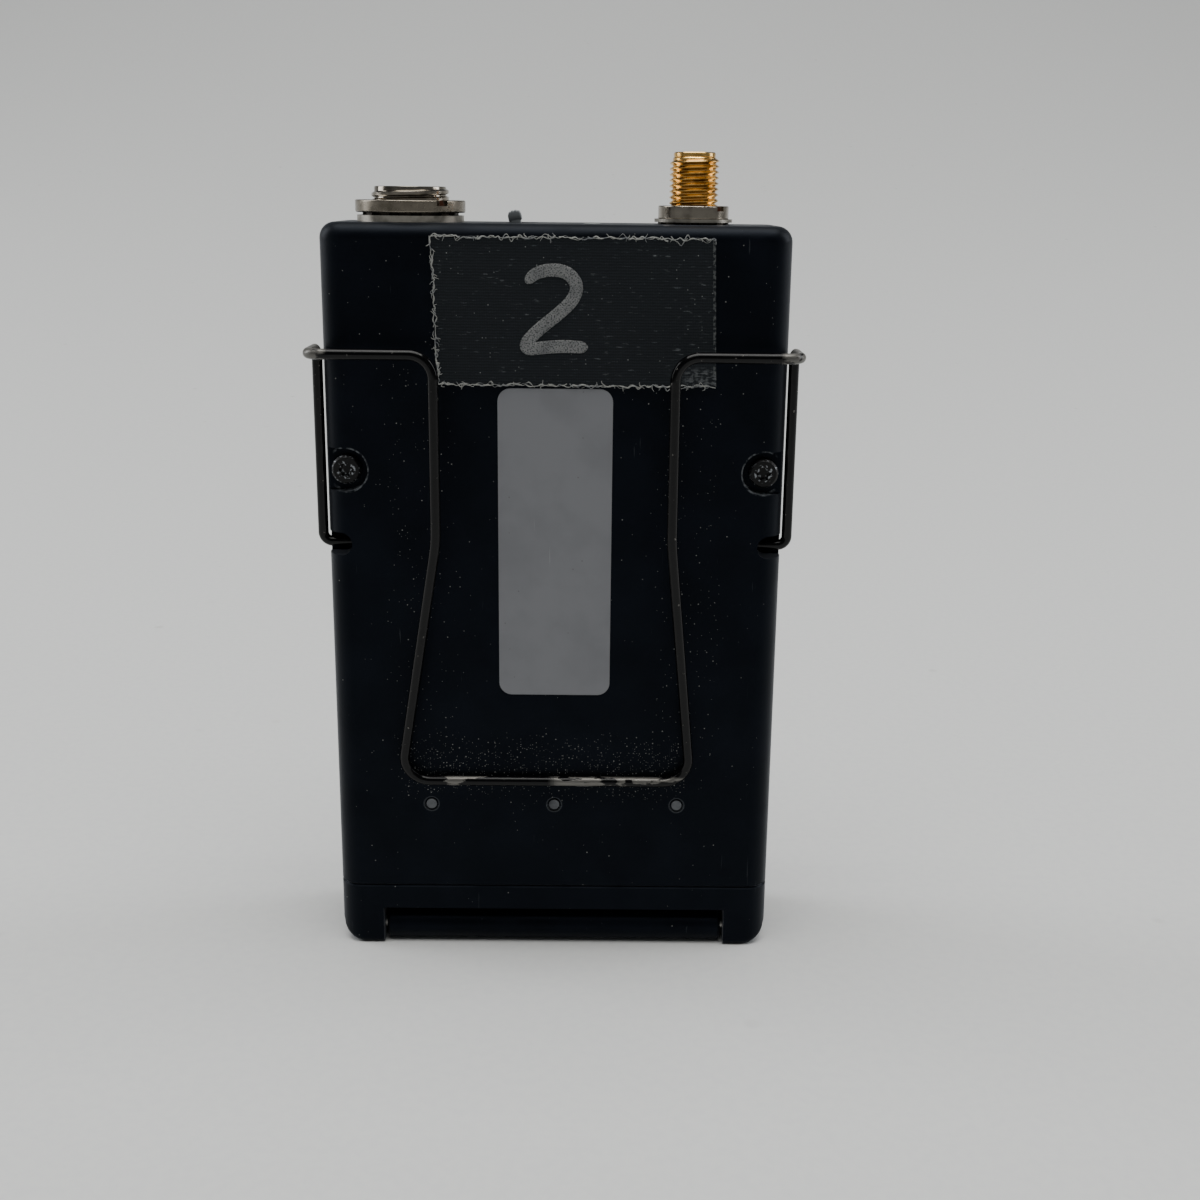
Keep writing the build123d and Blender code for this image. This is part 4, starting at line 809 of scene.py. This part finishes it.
numeral = {"width": 1.75, "thickness": 0.05,
           # the drawn figure: how far along the strip, how far up it, pressure
           "stroke": [(11.75, 12.75, 0.15), (11.85, 12.9, 0.55), (12.2, 13.35, 0.85), (12.9, 14.0, 0.92),
                      (14.6, 14.5, 0.98), (16.9, 14.3, 1.0),
                      (18.3, 12.6, 1.0), (17.5, 10.6, 1.0), (15.4, 8.8, 1.0), (12.9, 6.9, 0.98),
                      (11.3, 5.2, 1.0), (11.6, 4.5, 0.95), (13.4, 4.75, 0.98), (16.0, 5.0, 0.98), (18.4, 4.87, 0.95),
                      (18.95, 4.86, 0.75), (19.3, 4.86, 0.15)]}


def makeNumeral(low, high):
    n = numeral
    route = []
    for along, up, press in n["stroke"]:
        x, z = tapePoint(along * mm / (high.x - low.x), up * mm / (high.z - low.z), low, high)
        route.append((x, 0, z, press))
    piece = tubePiece("drawn_numeral", [route], n["width"] / 2 * mm, ink, 3)
    squeeze = Matrix.Diagonal((1, n["thickness"] / n["width"], 1, 1))
    onTape = Matrix.Translation((0, low.y, 0))
    piece.data.transform(onTape @ squeeze)
    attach(piece, "case")
    return piece


tapePiece, tapeLow, tapeHigh = makeTape()
frayPiece = makeFray(tapeLow, tapeHigh)
numeralPiece = makeNumeral(tapeLow, tapeHigh)
print("tape laid")


# cells

cell = {"radius": 7.05, "nub": 2.6, "nubHeight": 1.2, "goldShare": 0.27}


def makeCell(nodeName, pieceName, nubSide):
    c = cell
    low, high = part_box(nodeName)
    length = (high.x - low.x) / mm
    body = length - c["nubHeight"]
    r = c["radius"]
    outline = [(0.0, 0.0), (r - 2.6, 0.0), (r - 2.2, 0.18), (r - 1.0, 0.18), (r - 0.6, 0.0), (r - 0.25, 0.12),
               (r, 0.6), (r, body - 0.7), (r - 0.25, body - 0.12), (r - 0.6, body), (r - 1.1, body - 0.25),
               (r - 3.3, body - 0.25), (c["nub"] + 0.3, body), (c["nub"], body + 0.15), (c["nub"], length - 0.25),
               (c["nub"] - 0.25, length), (0.0, length)]
    bm = bmesh.new()
    verts = [bm.verts.new((radius * mm, 0, height * mm)) for radius, height in outline]
    edges = [bm.edges.new((verts[i], verts[i + 1])) for i in range(len(verts) - 1)]
    bmesh.ops.spin(bm, geom=verts + edges, cent=(0, 0, 0), axis=(0, 0, 1), angle=math.tau, steps=96, use_merge=True)
    bmesh.ops.remove_doubles(bm, verts=bm.verts, dist=0.000002)
    mark = bm.verts.layers.float.new("sleeveMark")
    # an extra ring where the two sleeve colours meet keeps the line sharp
    for offset in (-0.05, 0.05):
        cut = (body * (1 - c["goldShare"]) + offset) * mm
        bmesh.ops.bisect_plane(bm, geom=bm.verts[:] + bm.edges[:] + bm.faces[:], plane_co=(0, 0, cut),
                               plane_no=(0, 0, 1))
    for vert in bm.verts:
        vert[mark] = 1.0 if vert.co.z > body * (1 - c["goldShare"]) * mm else 0.0
    for face in bm.faces:
        centre = face.calc_center_median()
        face.material_index = 0 if math.hypot(centre.x, centre.y) > (r - 0.9) * mm else 1
    start = low.x if nubSide > 0 else high.x
    turn = Matrix.Rotation(nubSide * math.pi / 2, 4, "Y")
    place = Matrix.Translation((start, (low.y + high.y) / 2, (low.z + high.z) / 2)) @ turn
    bmesh.ops.transform(bm, matrix=place, verts=bm.verts)
    piece = finishMesh(pieceName, bm, [sleeve, nickelSheet], 30)
    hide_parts(nodeName)
    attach(piece, "case")


makeCell("aa_cell_lower", "cell_lower", 1)
makeCell("aa_cell_upper", "cell_upper", -1)
print("cells made")


# floor, light and camera

studio = {"bend": 0.30, "radius": 2.0, "sweep": 56, "width": 2.3, "rimStart": 2.2, "rimRadius": 2.2, "rimAngle": 85,
          "world": "#a0a3a6", "worldStrength": 0.30,
          # name, place, size, power, colour
          "lamps": [("overhead", (0.0, -0.15, 2.0), (2.0, 2.0), 48.0, "#fffefb"),
                    ("strip", (0.0, -0.10, 1.1), (1.0, 0.06), 2.6, "#fffefb"),
                    ("left_panel", (-1.1, 0.25, 0.55), (0.5, 0.9), 8.0, "#fbfdff"),
                    ("right_panel", (1.1, 0.20, 0.55), (0.5, 0.9), 7.0, "#fbfdff")]}


def makeStudio():
    t = studio
    material, tree, shader, place = newSurface("pale_grey_paper_sweep", "#c9cac9", 0.75,
                                               Specular_IOR_Level=0.2)
    blendInto(tree, shader, "Base Color", grainNoise(tree, place, 1.5 * mm, 3, 0.35, 0.7), linear("#c6c7c7"))
    blendInto(tree, shader, "Base Color", speckle(tree, place, 7 * mm, 0.02, 5.0), linear("#b8b8b7"))
    roughen(tree, shader, grainNoise(tree, place, 0.5 * mm, 3), 0.01 * mm, 0.4)
    bm = bmesh.new()
    bmesh.ops.create_grid(bm, x_segments=1, y_segments=1, size=t["width"])
    for vert in bm.verts:
        vert.co.y = min(vert.co.y, t["bend"])
    far = [e for e in bm.edges if all(v.co.y > 0 for v in e.verts)]
    bmesh.ops.spin(bm, geom=far + [v for e in far for v in e.verts], cent=(0, t["bend"], t["radius"]),
                   axis=(1, 0, 0), angle=math.radians(t["sweep"]), steps=32)
    # a wide rim closes the horizon on the other sides
    rim = bmesh.new()
    foot = rim.verts.new((t["rimStart"], 0, -2 * mm))
    bmesh.ops.spin(rim, geom=[foot], cent=(t["rimStart"], 0, t["rimRadius"]), axis=(0, -1, 0),
                   angle=math.radians(t["rimAngle"]), steps=24)
    bmesh.ops.spin(rim, geom=rim.verts[:] + rim.edges[:], cent=(0, 0, 0), axis=(0, 0, 1), angle=math.tau,
                   steps=96, use_merge=True)
    for name, shape in (("paper_sweep", bm), ("paper_rim", rim)):
        paper = finishMesh(name, shape, [material], 60)
        if sum(p.normal.z * p.area for p in paper.data.polygons) < 0:
            paper.data.flip_normals()

    world = bpy.data.worlds.new("studio")
    world.use_nodes = True
    world.node_tree.nodes["Background"].inputs[0].default_value = linear(t["world"])
    world.node_tree.nodes["Background"].inputs[1].default_value = t["worldStrength"]
    bpy.context.scene.world = world
    for name, spot, size, power, tint in t["lamps"]:
        data = bpy.data.lights.new(name, "AREA")
        data.shape = "RECTANGLE"
        data.size, data.size_y = size
        data.energy = power
        data.color = linear(tint)[:3]
        lamp = bpy.data.objects.new(name, data)
        lamp.location = spot
        lamp.rotation_euler = (Vector((0, 0, 0.05)) - Vector(spot)).to_track_quat("-Z", "Y").to_euler()
        bpy.context.scene.collection.objects.link(lamp)


view = {"place": (4.70, -201.2, 102.6), "lens": 45.0, "pitch": 15.116, "roll": 0.637, "yaw": 0.394}


def makeCamera():
    pitch, roll, yaw = (math.radians(view[key]) for key in ("pitch", "roll", "yaw"))
    ahead = Vector((math.sin(yaw) * math.cos(pitch), math.cos(yaw) * math.cos(pitch), -math.sin(pitch)))
    right = ahead.cross(Vector((0, 0, 1))).normalized()
    up = right.cross(ahead)
    rightRolled = right * math.cos(roll) + up * math.sin(roll)
    upRolled = -right * math.sin(roll) + up * math.cos(roll)
    axes = Matrix((rightRolled, upRolled, -ahead)).transposed().to_4x4()
    data = bpy.data.cameras.new("camera")
    data.lens = view["lens"]
    data.sensor_width = 36.0
    data.clip_start = 0.01
    camera = bpy.data.objects.new("camera", data)
    camera.matrix_world = Matrix.Translation(Vector(view["place"]) * mm) @ axes
    bpy.context.scene.collection.objects.link(camera)
    bpy.context.scene.camera = camera


makeStudio()
makeCamera()
print("studio and camera set")
